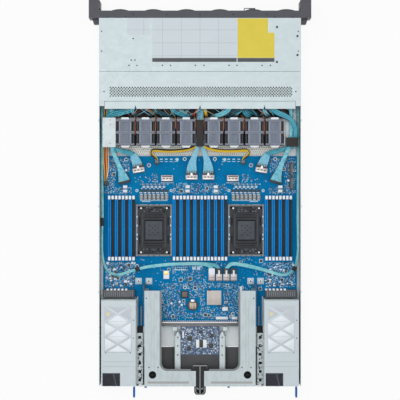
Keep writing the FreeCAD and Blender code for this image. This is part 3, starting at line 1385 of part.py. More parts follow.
def make_riser_latch():
    """Latch with a cross grip inside the U, a stem over the bar and a rounded pull behind the case."""
    body = new_body("riser_latch")
    bar = REAR - dim.bracket_bar
    low = WALL_TOP + dim.grip_gap
    grip_end = bar - dim.grip_travel - dim.grip_gap
    stem = dim.stem_half_width
    pull_start = REAR + dim.grip_gap
    plan = sketch_on(body, "XY_Plane", low)
    draw_outline(plan, [
        (-dim.grip_half_width, grip_end - dim.grip_length), (dim.grip_half_width, grip_end - dim.grip_length),
        (dim.grip_half_width, grip_end), (stem, grip_end), (stem, pull_start), (dim.pull_half_width, pull_start),
        (dim.pull_half_width, pull_start + dim.pull_length), (-dim.pull_half_width, pull_start + dim.pull_length),
        (-dim.pull_half_width, pull_start), (-stem, pull_start), (-stem, grip_end), (-dim.grip_half_width, grip_end)])
    plate = pad(body, plan, TOP - low)
    pull = sketch_on(body, "XY_Plane", low)
    draw_outline(pull, [(-dim.pull_half_width, pull_start), (dim.pull_half_width, pull_start),
                        (dim.pull_half_width, pull_start + dim.pull_length),
                        (-dim.pull_half_width, pull_start + dim.pull_length)])
    drop = pad(body, pull, dim.pull_drop, against=True)
    end = pull_start + dim.pull_length
    fillet = round_corners(body, drop, [(dim.pull_half_width, end), (-dim.pull_half_width, end)], dim.pull_half_width * 0.6)
    body.Tip = fillet
    node("riser_latch", body)
    return plate


def make_io_card():
    """Input and output card between the rails, with its edge in the connector of the main board."""
    low = BOARD_TOP + dim.card_rise
    plate = block("card_plate", (-dim.card_half_width, dim.card_half_width), (BOARD_REAR, REAR - dim.sheet * 2),
                  (low, low + dim.card_thick))
    middle = low + dim.card_thick / 2
    start, count = REAR - dim.port_depth, int(dim.port_count.value)
    ports, seats = [], []
    for i in range(count):
        x = dim.port_pitch * (i - (count - 1) / 2)
        shell = block("port_shell", about(x, dim.port_width), (start, REAR), about(middle, dim.port_height))
        mouth = block("port_mouth", about(x, dim.port_width - dim.port_wall * 2),
                      (start + dim.port_wall * 3, REAR + dim.sheet), about(middle, dim.port_height - dim.port_wall * 2))
        seats.append(block("port_seat", about(x, dim.port_width), (start, REAR), about(middle, dim.port_height)))
        ports.append(cut("port", shell, [mouth]))
    node("io_card", together("io_card", [cut("notched_card", plate, seats)] + ports))


# Cables: each is a tube of straight runs joined by arcs as large as the runs allow

CABLES = {
    # Data cables from the inner plugs, through the middle of the fan row, to the backplane
    "inner_left": (2.6, [(-18.3, -56.0, 12.6), (-18.0, -72.0, 15.0), (-9.0, -98.0, 22.0), (-3.8, -122.0, 25.0),
                         (-3.8, -200.0, 25.4), (-5.0, -289.0, 25.0)]),
    "inner_right": (2.6, [(18.3, -56.0, 12.6), (18.0, -72.0, 15.0), (9.0, -98.0, 22.0), (3.8, -122.0, 25.0),
                          (3.8, -200.0, 25.4), (5.0, -289.0, 25.0)]),
    # Data cables from the turned plugs, beside the fan row, to the backplane
    "outer_left": (2.4, [(-136.0, -71.6, 12.6), (-141.0, -90.0, 16.0), (-166.0, -100.0, 19.0), (-194.0, -112.0, 20.0),
                         (-200.0, -140.0, 20.0), (-200.0, -210.0, 21.0), (-200.0, -289.0, 21.0)]),
    "outer_right": (2.4, [(136.0, -71.6, 12.6), (141.0, -90.0, 16.0), (166.0, -100.0, 19.0), (194.0, -112.0, 20.0),
                          (200.0, -140.0, 20.0), (200.0, -210.0, 21.0), (200.0, -289.0, 21.0)]),
    "far_left": (2.4, [(-168.6, -48.8, 12.6), (-178.0, -75.0, 18.0), (-192.0, -106.0, 28.0), (-193.0, -135.0, 30.0),
                       (-193.0, -289.0, 30.0)]),
    "far_right": (2.4, [(168.6, -48.8, 12.6), (178.0, -75.0, 18.0), (192.0, -106.0, 28.0), (193.0, -135.0, 30.0),
                        (193.0, -289.0, 30.0)]),
    # Long cables down each wall and across behind the memory to the small plugs
    "wall_left": (2.2, [(-214.6, -289.0, 14.0), (-214.6, 120.0, 14.0), (-209.0, 150.0, 13.5), (-196.0, 165.0, 13.0),
                        (-178.0, 168.0, 13.0), (-140.0, 156.0, 13.0), (-105.0, 147.0, 13.0), (-74.0, 143.8, 13.0),
                        (-58.0, 150.7, 13.0)]),
    "wall_right": (2.2, [(214.6, -289.0, 14.0), (214.6, 120.0, 14.0), (209.0, 150.0, 13.5), (196.0, 165.0, 13.0),
                         (177.0, 168.0, 13.0), (136.0, 153.5, 13.0), (100.0, 147.0, 13.0), (45.0, 144.4, 13.0),
                         (-10.0, 144.2, 13.0), (-25.6, 150.7, 13.0)]),
    # Supply wires beside the right wall
    "supply_upper": (1.3, [(206.0, -289.0, 16.0), (206.0, -115.0, 16.0), (209.4, -80.0, 15.0), (206.4, -37.3, 13.6)]),
    "supply_lower": (1.3, [(206.0, -289.0, 11.0), (206.0, -112.0, 11.0), (208.6, -80.0, 11.0), (204.6, -37.3, 10.4)]),
    # Fan leads behind the fan row
    "lead_left": (1.4, [(-12.0, -115.0, 24.0), (-20.0, -106.0, 22.0), (-70.0, -104.0, 18.0), (-106.0, -107.0, 16.0),
                        (-108.0, -97.0, 15.0), (-95.0, -92.0, 13.0), (-94.5, -83.2, 12.4)]),
    "lead_right": (1.4, [(12.0, -115.0, 24.0), (20.0, -106.0, 22.0), (70.0, -104.0, 18.0), (106.0, -107.0, 16.0),
                         (108.0, -97.0, 15.0), (95.0, -92.0, 13.0), (94.5, -83.2, 12.4)]),
}
# Black wraps over the cables in the middle of the fan row and beside its left end
WRAPS = {
    "middle": ((-7.7, 7.7), (-171.0, -113.0), (28.4, 41.4)),
    "side": ((-213.5, -187.8), (-132.5, -112.7), (32.8, 41.4)),
}

# The case that the routes above are drawn for; in any other they keep to its front and its walls
ROUTE_FRONT = -407.5
ROUTE_HALF_WIDTH = 219.0
ROUTE_WALL = 185.0


def follow_case(point):
    """A route's point, moved with the front of the case and, near a wall, with that wall."""
    x, y, z = point
    if abs(x) > ROUTE_WALL:
        x += math.copysign(HALF_WIDTH.value - ROUTE_HALF_WIDTH, x)
    return Vector(x, y + FRONT.value - ROUTE_FRONT, z)


def rounded_path(points):
    """Edges of a path through the points, with each corner an arc as large as its runs allow."""
    places = [follow_case(point) for point in points]
    edges, radii, start = [], [], places[0]
    for before, corner, after in zip(places, places[1:], places[2:]):
        back, ahead = (before - corner), (after - corner)
        turn = math.pi - back.getAngle(ahead)
        cut_back = 0.45 * min(back.Length, ahead.Length)
        radius = cut_back / math.tan(turn / 2)
        first = corner + back.normalize() * cut_back
        last = corner + ahead.normalize() * cut_back
        inward = (back + ahead).normalize()
        middle = corner + inward * (radius / math.cos(turn / 2) - radius)
        edges += [Part.LineSegment(start, first).toShape(), Part.Arc(first, middle, last).toShape()]
        radii.append(radius)
        start = last
    edges.append(Part.LineSegment(start, places[-1]).toShape())
    return edges, radii


def make_cable(name, radius, points):
    """One cable as a round tube along its path."""
    edges, radii = rounded_path(points)
    path = Part.Wire(edges)
    ring = Part.Wire([Part.makeCircle(radius, edges[0].Vertexes[0].Point, edges[0].tangentAt(0))])
    tube = doc.addObject("Part::Feature", f"cable_{name}")
    tube.Shape = path.makePipeShell([ring], True, False)
    ratio = tube.Shape.Volume / (math.pi * radius * radius * path.Length)
    print(f"cable {name}: length {path.Length:.0f}, least bend {min(radii):.1f}, volume ratio {ratio:.3f}")
    return tube


def make_cable_harness():
    tubes = [make_cable(name, radius, points) for name, (radius, points) in CABLES.items()]
    wraps = []
    for name, spans in WRAPS.items():
        low, high = (follow_case(corner) for corner in zip(*spans))
        wraps.append(block(f"wrap_{name}", (low.x, high.x), (low.y, high.y), (low.z, high.z)))
    node("cable_harness", together("cable_harness", tubes + wraps))


def build():
    """Make every sub-part, check it and write it."""
    make_chassis_base()
    make_front_cover()
    make_mid_cover()
    make_drive_cage()
    make_info_tag()
    make_backplane()
    make_trays()
    make_rack_ears()
    make_power_button()
    make_fan_frames()
    make_fan_rotors()
    make_inner_brackets()
    make_motherboard()
    make_memory()
    make_sockets()
    make_board_components()
    make_psus()
    make_riser_bracket()
    make_riser_latch()
    make_io_card()
    make_cable_harness()
    doc.recompute()
    failed = [thing.Name for thing in doc.Objects if {"Invalid", "Error"} & set(thing.State)]
    failed += [name for name, thing in nodes.items() if thing.Shape.isNull() or not thing.Shape.isValid()]
    if failed:
        raise SystemExit(f"failed: {failed}")
    os.makedirs("parts", exist_ok=True)
    for name, thing in nodes.items():
        thing.Shape.exportStep(f"parts/{name}.step")
    print(len(nodes), "sub-parts")


build()
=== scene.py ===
import logging
import math
import random
from dataclasses import dataclass
from enum import Enum
from typing import Iterable, Optional, Sequence, Union

import bmesh
import bpy
from mathutils import Matrix, Vector


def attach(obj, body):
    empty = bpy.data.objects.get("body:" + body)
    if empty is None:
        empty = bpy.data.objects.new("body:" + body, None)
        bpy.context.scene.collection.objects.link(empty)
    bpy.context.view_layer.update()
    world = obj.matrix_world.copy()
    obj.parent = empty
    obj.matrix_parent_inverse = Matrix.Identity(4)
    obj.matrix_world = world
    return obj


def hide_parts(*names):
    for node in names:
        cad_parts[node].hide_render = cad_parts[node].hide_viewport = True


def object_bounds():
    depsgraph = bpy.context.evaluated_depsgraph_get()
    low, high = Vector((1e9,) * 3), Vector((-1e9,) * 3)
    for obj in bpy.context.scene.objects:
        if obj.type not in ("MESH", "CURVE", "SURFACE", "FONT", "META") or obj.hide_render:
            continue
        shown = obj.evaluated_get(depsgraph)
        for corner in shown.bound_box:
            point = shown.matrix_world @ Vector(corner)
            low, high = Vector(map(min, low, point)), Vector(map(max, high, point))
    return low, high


# Looks of a one-unit rack server seen from above with its rear cover off. Shapes are drawn in
# millimetres in the frame of the solids, and each piece is brought to metres as it is finished.

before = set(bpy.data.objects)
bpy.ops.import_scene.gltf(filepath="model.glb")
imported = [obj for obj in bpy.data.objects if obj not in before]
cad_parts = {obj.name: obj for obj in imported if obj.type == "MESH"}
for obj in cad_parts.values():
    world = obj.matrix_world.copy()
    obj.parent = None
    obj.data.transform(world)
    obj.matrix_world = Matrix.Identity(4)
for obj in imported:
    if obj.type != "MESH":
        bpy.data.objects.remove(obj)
CAD_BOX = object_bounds()

LOG = logging.getLogger("rack_server")
MM = 0.001
SIDES = (-1, 1)
Colour = tuple[float, float, float]
Place = Sequence[float]
Socket = bpy.types.NodeSocket
Value = Union[float, Sequence[float], Socket]


class Effect(Enum):
    """Surface effects that several finishes share, each one node group."""

    MOTTLE = "mottled_tone"
    SPANGLE = "zinc_spangle"
    BRUSHED = "brushed_lines"
    TRACKS = "board_tracks"
    PIERCED = "pierced_sheet"
    RULED = "ruled_panel"
    # Lower faces painted dark as shade under a paler top.
    SHADE_BELOW = "painted_shade_below"


class PlugKind(Enum):
    """Kinds of data plug on the board."""

    FULL = "with a cable head"
    BARE = "empty"
    DARK = "dark, with a cable head"


class NodeWeaver:
    """Adds nodes to one node tree and joins their sockets."""

    def __init__(self, tree: bpy.types.NodeTree) -> None:
        """Keep the tree that the nodes go into."""
        self.tree = tree

    def feed(self, socket: Socket, value: Value) -> None:
        """Give a socket a link or a plain value.

        Args:
            socket: The input to fill.
            value: Another node's output, or a number, vector or colour.
        """
        if isinstance(value, Socket):
            self.tree.links.new(value, socket)
        else:
            socket.default_value = value

    def add(self, kind: str, inputs: Optional[dict] = None, **settings: object) -> bpy.types.Node:
        """Add a node.

        Args:
            kind: Blender's name of the node type.
            inputs: Values for its inputs, by name or index.
            settings: Properties to set before the inputs.

        Returns:
            The new node.
        """
        node = self.tree.nodes.new(kind)
        for name, setting in settings.items():
            setattr(node, name, setting)
        for key, value in (inputs or {}).items():
            self.feed(node.inputs[key], value)
        return node

    def math(self, operation: str, first: Value, second: Value = 0.0) -> Socket:
        """The result of one math node."""
        return self.add("ShaderNodeMath", {0: first, 1: second}, operation=operation).outputs[0]

    def times(self, first: Value, second: Value) -> Socket:
        """Two values multiplied."""
        return self.math("MULTIPLY", first, second)

    def mix(self, factor: Value, first: Value, second: Value) -> Socket:
        """A blend of two colours."""
        return self.add("ShaderNodeMix", {0: factor, 6: first, 7: second}, data_type="RGBA").outputs[2]

    def ramp(self, value: Value, low: float, high: float) -> Socket:
        """A value brought from low..high to 0..1 and kept inside it."""
        inputs = {"Value": value, "From Min": low, "From Max": high}
        return self.add("ShaderNodeMapRange", inputs, clamp=True).outputs[0]

    def about(self, base: Value, change: Value, amount: Value) -> Socket:
        """A base value that a 0..1 change moves up and down by half an amount."""
        return self.math("ADD", base, self.times(self.math("SUBTRACT", change, 0.5), amount))

    def shares(self, first: Value, share: float, second: Value) -> Socket:
        """A share of one value and the rest of another."""
        return self.math("ADD", self.times(first, share), self.times(second, 1.0 - share))


class EffectWeaver(NodeWeaver):
    """Weaves the node group of one effect, which gives a colour, a roughness and a height."""

    INPUTS = {"Vector": "Vector", "Base": "Color", "Second": "Color", "Scale": "Float", "Amount": "Float",
              "Rough": "Float", "Spread": "Float"}
    OUTPUTS = {"Color": "Color", "Roughness": "Float", "Height": "Float"}
    VIA = (0.55, 0.68, 0.72, 1.0)
    VIA_SCALE = 210.0
    TRACK_WAVES = (3600.0, 2500.0)

    def __init__(self, name: str) -> None:
        """Start a group with its named inputs and outputs.

        Args:
            name: Name of the group.
        """
        super().__init__(bpy.data.node_groups.new(name, "ShaderNodeTree"))
        for in_out, sockets in (("INPUT", self.INPUTS), ("OUTPUT", self.OUTPUTS)):
            for socket, kind in sockets.items():
                self.tree.interface.new_socket(name=socket, in_out=in_out, socket_type=f"NodeSocket{kind}")
        given = self.add("NodeGroupInput").outputs
        self.vector, self.base, self.second, self.scale, self.amount, self.rough, self.spread = (
            given[name] for name in self.INPUTS)

    def noise(self, scale: Value, detail: float = 2.0, stretch: Optional[Place] = None) -> Socket:
        """Cloudy noise from 0 to 1.

        Args:
            scale: How fine it is.
            detail: How many finer layers it has.
            stretch: How much the place counts along each axis, the same along all if left out.

        Returns:
            The noise.
        """
        vector = self.vector
        if stretch is not None:
            vector = self.add("ShaderNodeMapping", {"Vector": vector, "Scale": stretch}).outputs[0]
        return self.add("ShaderNodeTexNoise", {"Vector": vector, "Scale": scale, "Detail": detail}).outputs[0]

    def cells(self, scale: Value, **settings: object) -> bpy.types.NodeOutputs:
        """The outputs of a texture of cells."""
        return self.add("ShaderNodeTexVoronoi", {"Vector": self.vector, "Scale": scale}, **settings).outputs

    def axes(self) -> bpy.types.NodeOutputs:
        """X, Y and Z of the place."""
        return self.add("ShaderNodeSeparateXYZ", {0: self.vector}).outputs

    def picks(self, colour: Value) -> bpy.types.NodeOutputs:
        """Three chance values from a cell's colour."""
        return self.add("ShaderNodeSeparateColor", {0: colour}).outputs

    def toned(self, share: Value) -> Socket:
        """Base, blended with Second by a share of Amount."""
        return self.mix(self.times(share, self.amount), self.base, self.second)

    def end(self, colour: Value, change: Value, height: Optional[Value] = None) -> None:
        """Join the results to the outputs of the group.

        Args:
            colour: The colour.
            change: From 0 to 1, moves the roughness.
            height: The height, the change itself if left out.
        """
        rough = self.about(self.rough, change, self.spread)
        height = change if height is None else height
        self.add("NodeGroupOutput", {"Color": colour, "Roughness": rough, "Height": height})

    def mottle(self) -> None:
        """Soft clouds of a second tone, and a fine moulded grain."""
        clouds = self.ramp(self.noise(self.scale, 4.0), 0.3, 0.7)
        self.end(self.toned(clouds), self.noise(self.times(self.scale, 24.0)))

    def spangle(self) -> None:
        """Crystals of zinc of slightly different tone, under long soft smears."""
        crystal = self.picks(self.cells(self.scale)["Color"])[0]
        smear = self.noise(self.times(self.scale, 0.08), 3.0, (1.0, 6.0, 1.0))
        self.end(self.toned(self.shares(crystal, 0.5, smear)), crystal)

    def brushed(self) -> None:
        """Fine lines along Y."""
        lines = self.noise(self.times(self.scale, 30.0), 3.0, (1.0, 0.04, 1.0))
        self.end(self.toned(self.shares(lines, 0.7, self.noise(self.scale))), lines)

    def tracks(self) -> None:
        """Bundles of copper tracks under the lacquer of a board, with pale vias."""
        pick = self.picks(self.cells(self.scale, distance="CHEBYCHEV")["Color"])
        axes = self.axes()
        wave, slant_wave = self.TRACK_WAVES
        across, along = (self.math("SINE", self.times(axes[i], wave)) for i in (0, 1))
        slant = self.math("SINE", self.times(self.math("ADD", axes[0], axes[1]), slant_wave))
        straight = self.mix(self.math("GREATER_THAN", pick[0], 0.5), across, along)
        lines = self.mix(self.math("GREATER_THAN", pick[1], 0.75), straight, slant)
        shown = self.times(self.math("GREATER_THAN", lines, 0.1), self.math("GREATER_THAN", pick[2], 0.4))
        clouds = self.ramp(self.noise(self.times(self.scale, 0.6), 4.0), 0.35, 0.65)
        via = self.math("LESS_THAN", self.cells(self.VIA_SCALE)["Distance"], 0.09)
        lacquer = self.toned(self.shares(shown, 0.55, clouds))
        self.end(self.mix(self.times(via, 0.6), lacquer, self.VIA), shown)

    def pierced(self) -> None:
        """Rows of staggered round holes in X and Y, as large in their cells as Amount says."""
        axes = self.axes()
        row = self.times(axes[1], self.scale)
        shift = self.times(self.math("FLOORED_MODULO", self.math("FLOOR", row), 2.0), 0.5)
        column = self.math("ADD", self.times(axes[0], self.scale), shift)
        x, y = (self.math("SUBTRACT", self.math("FRACT", place), 0.5) for place in (column, row))
        away = self.math("SQRT", self.math("ADD", self.times(x, x), self.times(y, y)))
        hole = self.math("LESS_THAN", away, self.amount)
        tone = self.times(self.noise(40.0, 3.0), 0.25)
        colour = self.mix(self.math("MAXIMUM", hole, tone), self.base, self.second)
        self.end(colour, self.noise(900.0), self.math("SUBTRACT", 1.0, hole))

    def ruled(self) -> None:
        """A plain panel: faint ruled boxes, and a sheet that has yellowed a little in clouds."""
        bricks = self.add(
            "ShaderNodeTexBrick", {"Vector": self.vector, "Scale": self.scale, "Mortar Size": 0.012,
                                   "Brick Width": 1.3, "Row Height": 0.9, "Color1": (0.0, 0.0, 0.0, 1.0),
                                   "Color2": (0.08, 0.08, 0.08, 1.0), "Mortar": (1.0, 1.0, 1.0, 1.0)},
            offset=0.0)
        clouds = self.noise(25.0, 3.0)
        lines = self.math("MAXIMUM", bricks.outputs["Color"], self.times(clouds, 0.15))
        self.end(self.toned(lines), clouds)

    def paint_shade_below(self) -> None:
        """Faces below the height Scale, in metres, painted dark as shade, under faces above it in a pale
        tone.
        """
        top = self.math("GREATER_THAN", self.axes()[2], self.scale)
        clouds = self.ramp(self.noise(160.0, 3.0, (1.0, 0.25, 1.0)), 0.25, 0.75)
        pale = self.times(top, self.about(self.amount, clouds, 0.4))
        self.end(self.mix(pale, self.base, self.second), self.noise(700.0))


WAYS = {
    Effect.MOTTLE: EffectWeaver.mottle, Effect.SPANGLE: EffectWeaver.spangle,
    Effect.BRUSHED: EffectWeaver.brushed, Effect.TRACKS: EffectWeaver.tracks,
    Effect.PIERCED: EffectWeaver.pierced, Effect.RULED: EffectWeaver.ruled,
    Effect.SHADE_BELOW: EffectWeaver.paint_shade_below}
GROUPS: dict[Effect, bpy.types.NodeTree] = {}
MADE: dict[str, bpy.types.Material] = {}


def effect_group(effect: Effect) -> bpy.types.NodeTree:
    """The node group of one effect.

    Args:
        effect: Which effect.

    Returns:
        Its node group, built at the first call.
    """
    if effect not in GROUPS:
        weaver = EffectWeaver(effect.value)
        WAYS[effect](weaver)
        GROUPS[effect] = weaver.tree
    return GROUPS[effect]


def empty_tree(owner: bpy.types.ID) -> NodeWeaver:
    """A weaver for a material or world whose nodes are cleared.

    Args:
        owner: The material or world.

    Returns:
        The weaver of its node tree.
    """
    owner.use_nodes = True
    owner.node_tree.nodes.clear()
    return NodeWeaver(owner.node_tree)


@dataclass(frozen=True)
class Finish:
    """One surface finish: an effect with its colours, in linear values, its scale, gloss and bump."""

    name: str
    base: Colour
    second: Colour
    scale: float = 40.0
    effect: Effect = Effect.MOTTLE
    amount: float = 0.6
    rough: float = 0.5
    spread: float = 0.15
    metallic: float = 0.0
    bump: float = 0.02
    bump_strength: float = 0.5
    glow: float = 0.0
    gloss: float = 0.5
    turn: tuple[float, float, float] = (0.0, 0.0, 0.0)

    def material(self) -> bpy.types.Material:
        """The Blender material of this finish.

        Returns:
            The material, made at the first call.
        """
        if self.name in MADE:
            return MADE[self.name]
        made = MADE[self.name] = bpy.data.materials.new(self.name)
        w = empty_tree(made)
        vector = w.add("ShaderNodeTexCoord").outputs["Object"]
        if any(self.turn):
            vector = w.add("ShaderNodeMapping", {"Vector": vector, "Rotation": self.turn}).outputs[0]
        inner = w.add("ShaderNodeGroup", node_tree=effect_group(self.effect))
        values = (
            vector, (*self.base, 1.0), (*self.second, 1.0), self.scale, self.amount, self.rough, self.spread)
        for name, value in zip(EffectWeaver.INPUTS, values):
            w.feed(inner.inputs[name], value)
        bump = w.add("ShaderNodeBump", {"Strength": self.bump_strength, "Distance": self.bump * MM,
                                        "Height": inner.outputs["Height"]})
        shader = w.add("ShaderNodeBsdfPrincipled", {
            "Base Color": inner.outputs["Color"], "Roughness": inner.outputs["Roughness"],
            "Metallic": self.metallic, "Specular IOR Level": self.gloss, "Normal": bump.outputs[0]})
        if self.glow:
            w.feed(shader.inputs["Emission Color"], (*self.second, 1.0))
            w.feed(shader.inputs["Emission Strength"], self.glow)
        w.add("ShaderNodeOutputMaterial", {"Surface": shader.outputs[0]})
        return made


SHEET = Finish(
    "galvanised_sheet", (0.555, 0.645, 0.67), (0.61, 0.7, 0.73), 110, Effect.SPANGLE, rough=0.45,
    metallic=0.15)
INNER_SHEET = Finish(
    "galvanised_inside", (0.45, 0.51, 0.53), (0.54, 0.6, 0.62), 90, Effect.SPANGLE, rough=0.4, metallic=0.3)
DARK_PAINT = Finish("dark_paint", (0.076, 0.077, 0.093), (0.094, 0.095, 0.113), 30, gloss=0.3)
TRAY = Finish(
    "tray_steel", (0.13, 0.135, 0.145), (0.22, 0.225, 0.235), 40, Effect.BRUSHED, rough=0.4, metallic=0.6)
LEVER = Finish(
    "lever_mesh", (0.095, 0.097, 0.112), (0.012, 0.012, 0.014), 330, Effect.PIERCED, amount=0.3, bump=0.15,
    turn=(math.radians(-90), 0.0, 0.0))
EAR = Finish("ear_plastic", (0.074, 0.074, 0.088), (0.1, 0.1, 0.118), 45, rough=0.45, gloss=0.3)
GLOSS_BLACK = Finish("gloss_black", (0.01, 0.01, 0.012), (0.02, 0.02, 0.024), 60, rough=0.22, spread=0.08)
# Fan housing: lower faces painted dark as shade under the paler tops.
FAN = Finish("fan_housing", (0.012, 0.014, 0.02), (0.165, 0.196, 0.262), 0.0406, Effect.SHADE_BELOW, amount=0.9)
FAN_FACE = Finish("fan_flange", (0.19, 0.225, 0.285), (0.27, 0.31, 0.38), 120)
FAN_LINE = Finish("fan_line", (0.035, 0.038, 0.046), (0.07, 0.075, 0.088), 120)
# Painted highlight: ribs paler than the flanges.
FAN_RIB_HIGHLIGHT = Finish("fan_rib_highlight", (0.24, 0.28, 0.35), (0.33, 0.375, 0.45), 120)
ROTOR = Finish("rotor_black", (0.012, 0.012, 0.014), (0.028, 0.028, 0.032), 80, rough=0.35)
# Brighter than the strip's own tone: painted light on a strip that lies in the fans' shade.
LIT_STRIP = Finish(
    "pierced_strip", (0.86, 0.87, 0.82), (0.3, 0.3, 0.28), 210, Effect.PIERCED, amount=0.27, rough=0.42,
    metallic=0.2, bump=0.2)
BOARD = Finish(
    "board_lacquer", (0.0, 0.185, 0.44), (0.002, 0.265, 0.56), 34, Effect.TRACKS, amount=0.75, spread=0.1,
    bump=0.03, gloss=0.03)
CARD = Finish(
    "card_board", (0.03, 0.075, 0.19), (0.055, 0.115, 0.26), 60, Effect.TRACKS, rough=0.4, spread=0.1)
GREEN_BOARD = Finish(
    "green_board", (0.04, 0.12, 0.07), (0.08, 0.2, 0.12), 60, Effect.TRACKS, rough=0.4, spread=0.1)
PRINT = Finish("board_print", (0.52, 0.76, 0.9), (0.78, 0.92, 0.97), 90, rough=0.6)
BLACK = Finish("parts_black", (0.012, 0.012, 0.014), (0.035, 0.035, 0.04), 110, rough=0.45)
CHIP_TAN = Finish("chip_tan", (0.24, 0.3, 0.34), (0.4, 0.48, 0.54), 150)
CHIP_GREY = Finish("chip_grey", (0.3, 0.42, 0.52), (0.5, 0.63, 0.72), 150, metallic=0.2)
CHOKE = Finish("choke_ferrite", (0.15, 0.165, 0.175), (0.3, 0.32, 0.33), 170, rough=0.55)
PLUG = Finish(
    "plug_metal", (0.4, 0.36, 0.35), (0.58, 0.54, 0.53), 60, Effect.BRUSHED, rough=0.35, metallic=0.4)
SINK = Finish(
    "heatsink_metal", (0.64, 0.59, 0.56), (0.8, 0.75, 0.71), 80, Effect.BRUSHED, rough=0.4, metallic=0.3)
STEEL = Finish(
    "bright_steel", (0.52, 0.54, 0.57), (0.74, 0.76, 0.79), 50, Effect.BRUSHED, rough=0.3, metallic=0.7)
PALE_METAL = Finish("pale_metal", (0.38, 0.56, 0.7), (0.54, 0.7, 0.82), 150, metallic=0.2)
FRAME_STEEL = Finish(
    "frame_steel", (0.07, 0.076, 0.084), (0.16, 0.17, 0.18), 50, Effect.BRUSHED, rough=0.4, metallic=0.4)
COVER = Finish("socket_cover", (0.02, 0.023, 0.029), (0.04, 0.046, 0.056), 55, gloss=0.25)
COVER_PALE = Finish("cover_raised", (0.054, 0.064, 0.078), (0.082, 0.094, 0.112), 70, gloss=0.3)
BLUE_SOCKET = Finish(
    "memory_blue", (0.002, 0.23, 0.66), (0.006, 0.33, 0.86), 25, Effect.BRUSHED, amount=0.9, gloss=0.08)
BLACK_SOCKET = Finish(
    "memory_black", (0.008, 0.009, 0.012), (0.024, 0.027, 0.034), 25, Effect.BRUSHED, rough=0.42, gloss=0.3)
WHITE = Finish("white_nylon", (0.84, 0.9, 0.95), (0.93, 0.96, 0.98), 120, rough=0.42)
GOLD = Finish(
    "contact_gold", (0.62, 0.4, 0.12), (0.8, 0.58, 0.26), 90, Effect.BRUSHED, rough=0.3, metallic=0.9)
RIBBON = Finish("ribbon_jacket", (0.2, 0.6, 0.82), (0.46, 0.82, 0.94), 300, amount=0.9, rough=0.45, gloss=0.3)
SKY = Finish("sky_jacket", (0.1, 0.5, 0.66), (0.42, 0.84, 0.92), 160, amount=0.9, rough=0.4, gloss=0.3)
AQUA = Finish("aqua_jacket", (0.16, 0.6, 0.68), (0.42, 0.8, 0.84), 90, amount=0.9, rough=0.4)
BROWN = Finish("brown_jacket", (0.16, 0.08, 0.045), (0.3, 0.17, 0.1), 60)
DARK_RED = Finish("dark_red_jacket", (0.26, 0.04, 0.04), (0.36, 0.08, 0.07), 60)
TEAL = Finish("teal_jacket", (0.05, 0.4, 0.53), (0.2, 0.6, 0.72), 60, amount=0.8, gloss=0.3)
DEEP_TEAL = Finish("deep_teal_jacket", (0.01, 0.16, 0.24), (0.03, 0.28, 0.38), 60, gloss=0.3)
YELLOW = Finish("yellow_jacket", (0.86, 0.56, 0.025), (0.95, 0.68, 0.08), 60, gloss=0.3)
DARK_WIRE = Finish("black_jacket", (0.008, 0.008, 0.01), (0.022, 0.022, 0.026), 60)
RED = Finish("red_jacket", (0.72, 0.05, 0.035), (0.82, 0.12, 0.07), 60, gloss=0.3)
ORANGE = Finish("orange_jacket", (0.62, 0.22, 0.07), (0.74, 0.34, 0.14), 60, gloss=0.3)
WRAP = Finish(
    "cable_wrap", (0.016, 0.013, 0.012), (0.036, 0.031, 0.03), 60, Effect.BRUSHED, rough=0.6, gloss=0.3)
SUPPLY = Finish(
    "supply_steel", (0.5, 0.57, 0.61), (0.6, 0.67, 0.71), 130, Effect.SPANGLE, rough=0.4, metallic=0.15)
EMBOSS = Finish(
    "supply_emboss", (0.7, 0.76, 0.82), (0.8, 0.85, 0.9), 90, Effect.SPANGLE, rough=0.35, metallic=0.1)
# Brighter than the sheet: painted light on a floor that lies in shade under the bracket.
LIT_BAY_FLOOR = Finish("bay_floor_painted_lit", (0.9, 0.99, 1.0), (0.95, 1.0, 1.0), 90, Effect.SPANGLE)
STICKER = Finish("round_sticker", (0.72, 0.7, 0.46), (0.8, 0.78, 0.56), 90)
BLUE_LEVER = Finish("lever_blue", (0.006, 0.105, 0.44), (0.014, 0.16, 0.56), 80, gloss=0.2)
# Riser bracket: lower faces painted grey as shade under its pale top.
RISER = Finish(
    "riser_sheet", (0.19, 0.205, 0.215), (0.535, 0.615, 0.64), 0.0427, Effect.SHADE_BELOW, amount=0.96, rough=0.45,
    metallic=0.1)
GROOVE = Finish("pressed_groove", (0.36, 0.37, 0.37), (0.45, 0.46, 0.46), 60, Effect.BRUSHED)
PANEL = Finish(
    "plain_panel", (0.66, 0.74, 0.79), (0.36, 0.41, 0.45), 32, Effect.RULED, amount=0.8, rough=0.45,
    bump=0.005)
YELLOW_PANEL = Finish(
    "yellow_panel", (0.76, 0.62, 0.055), (0.82, 0.68, 0.09), 35, rough=0.45, bump=0.005, gloss=0.3)
DARK_PANEL = Finish("dark_panel", (0.05, 0.055, 0.063), (0.068, 0.073, 0.082), 50, bump=0.005)
HOLE = Finish("dark_hole", (0.012, 0.013, 0.016), (0.035, 0.037, 0.042), 90, rough=0.7)
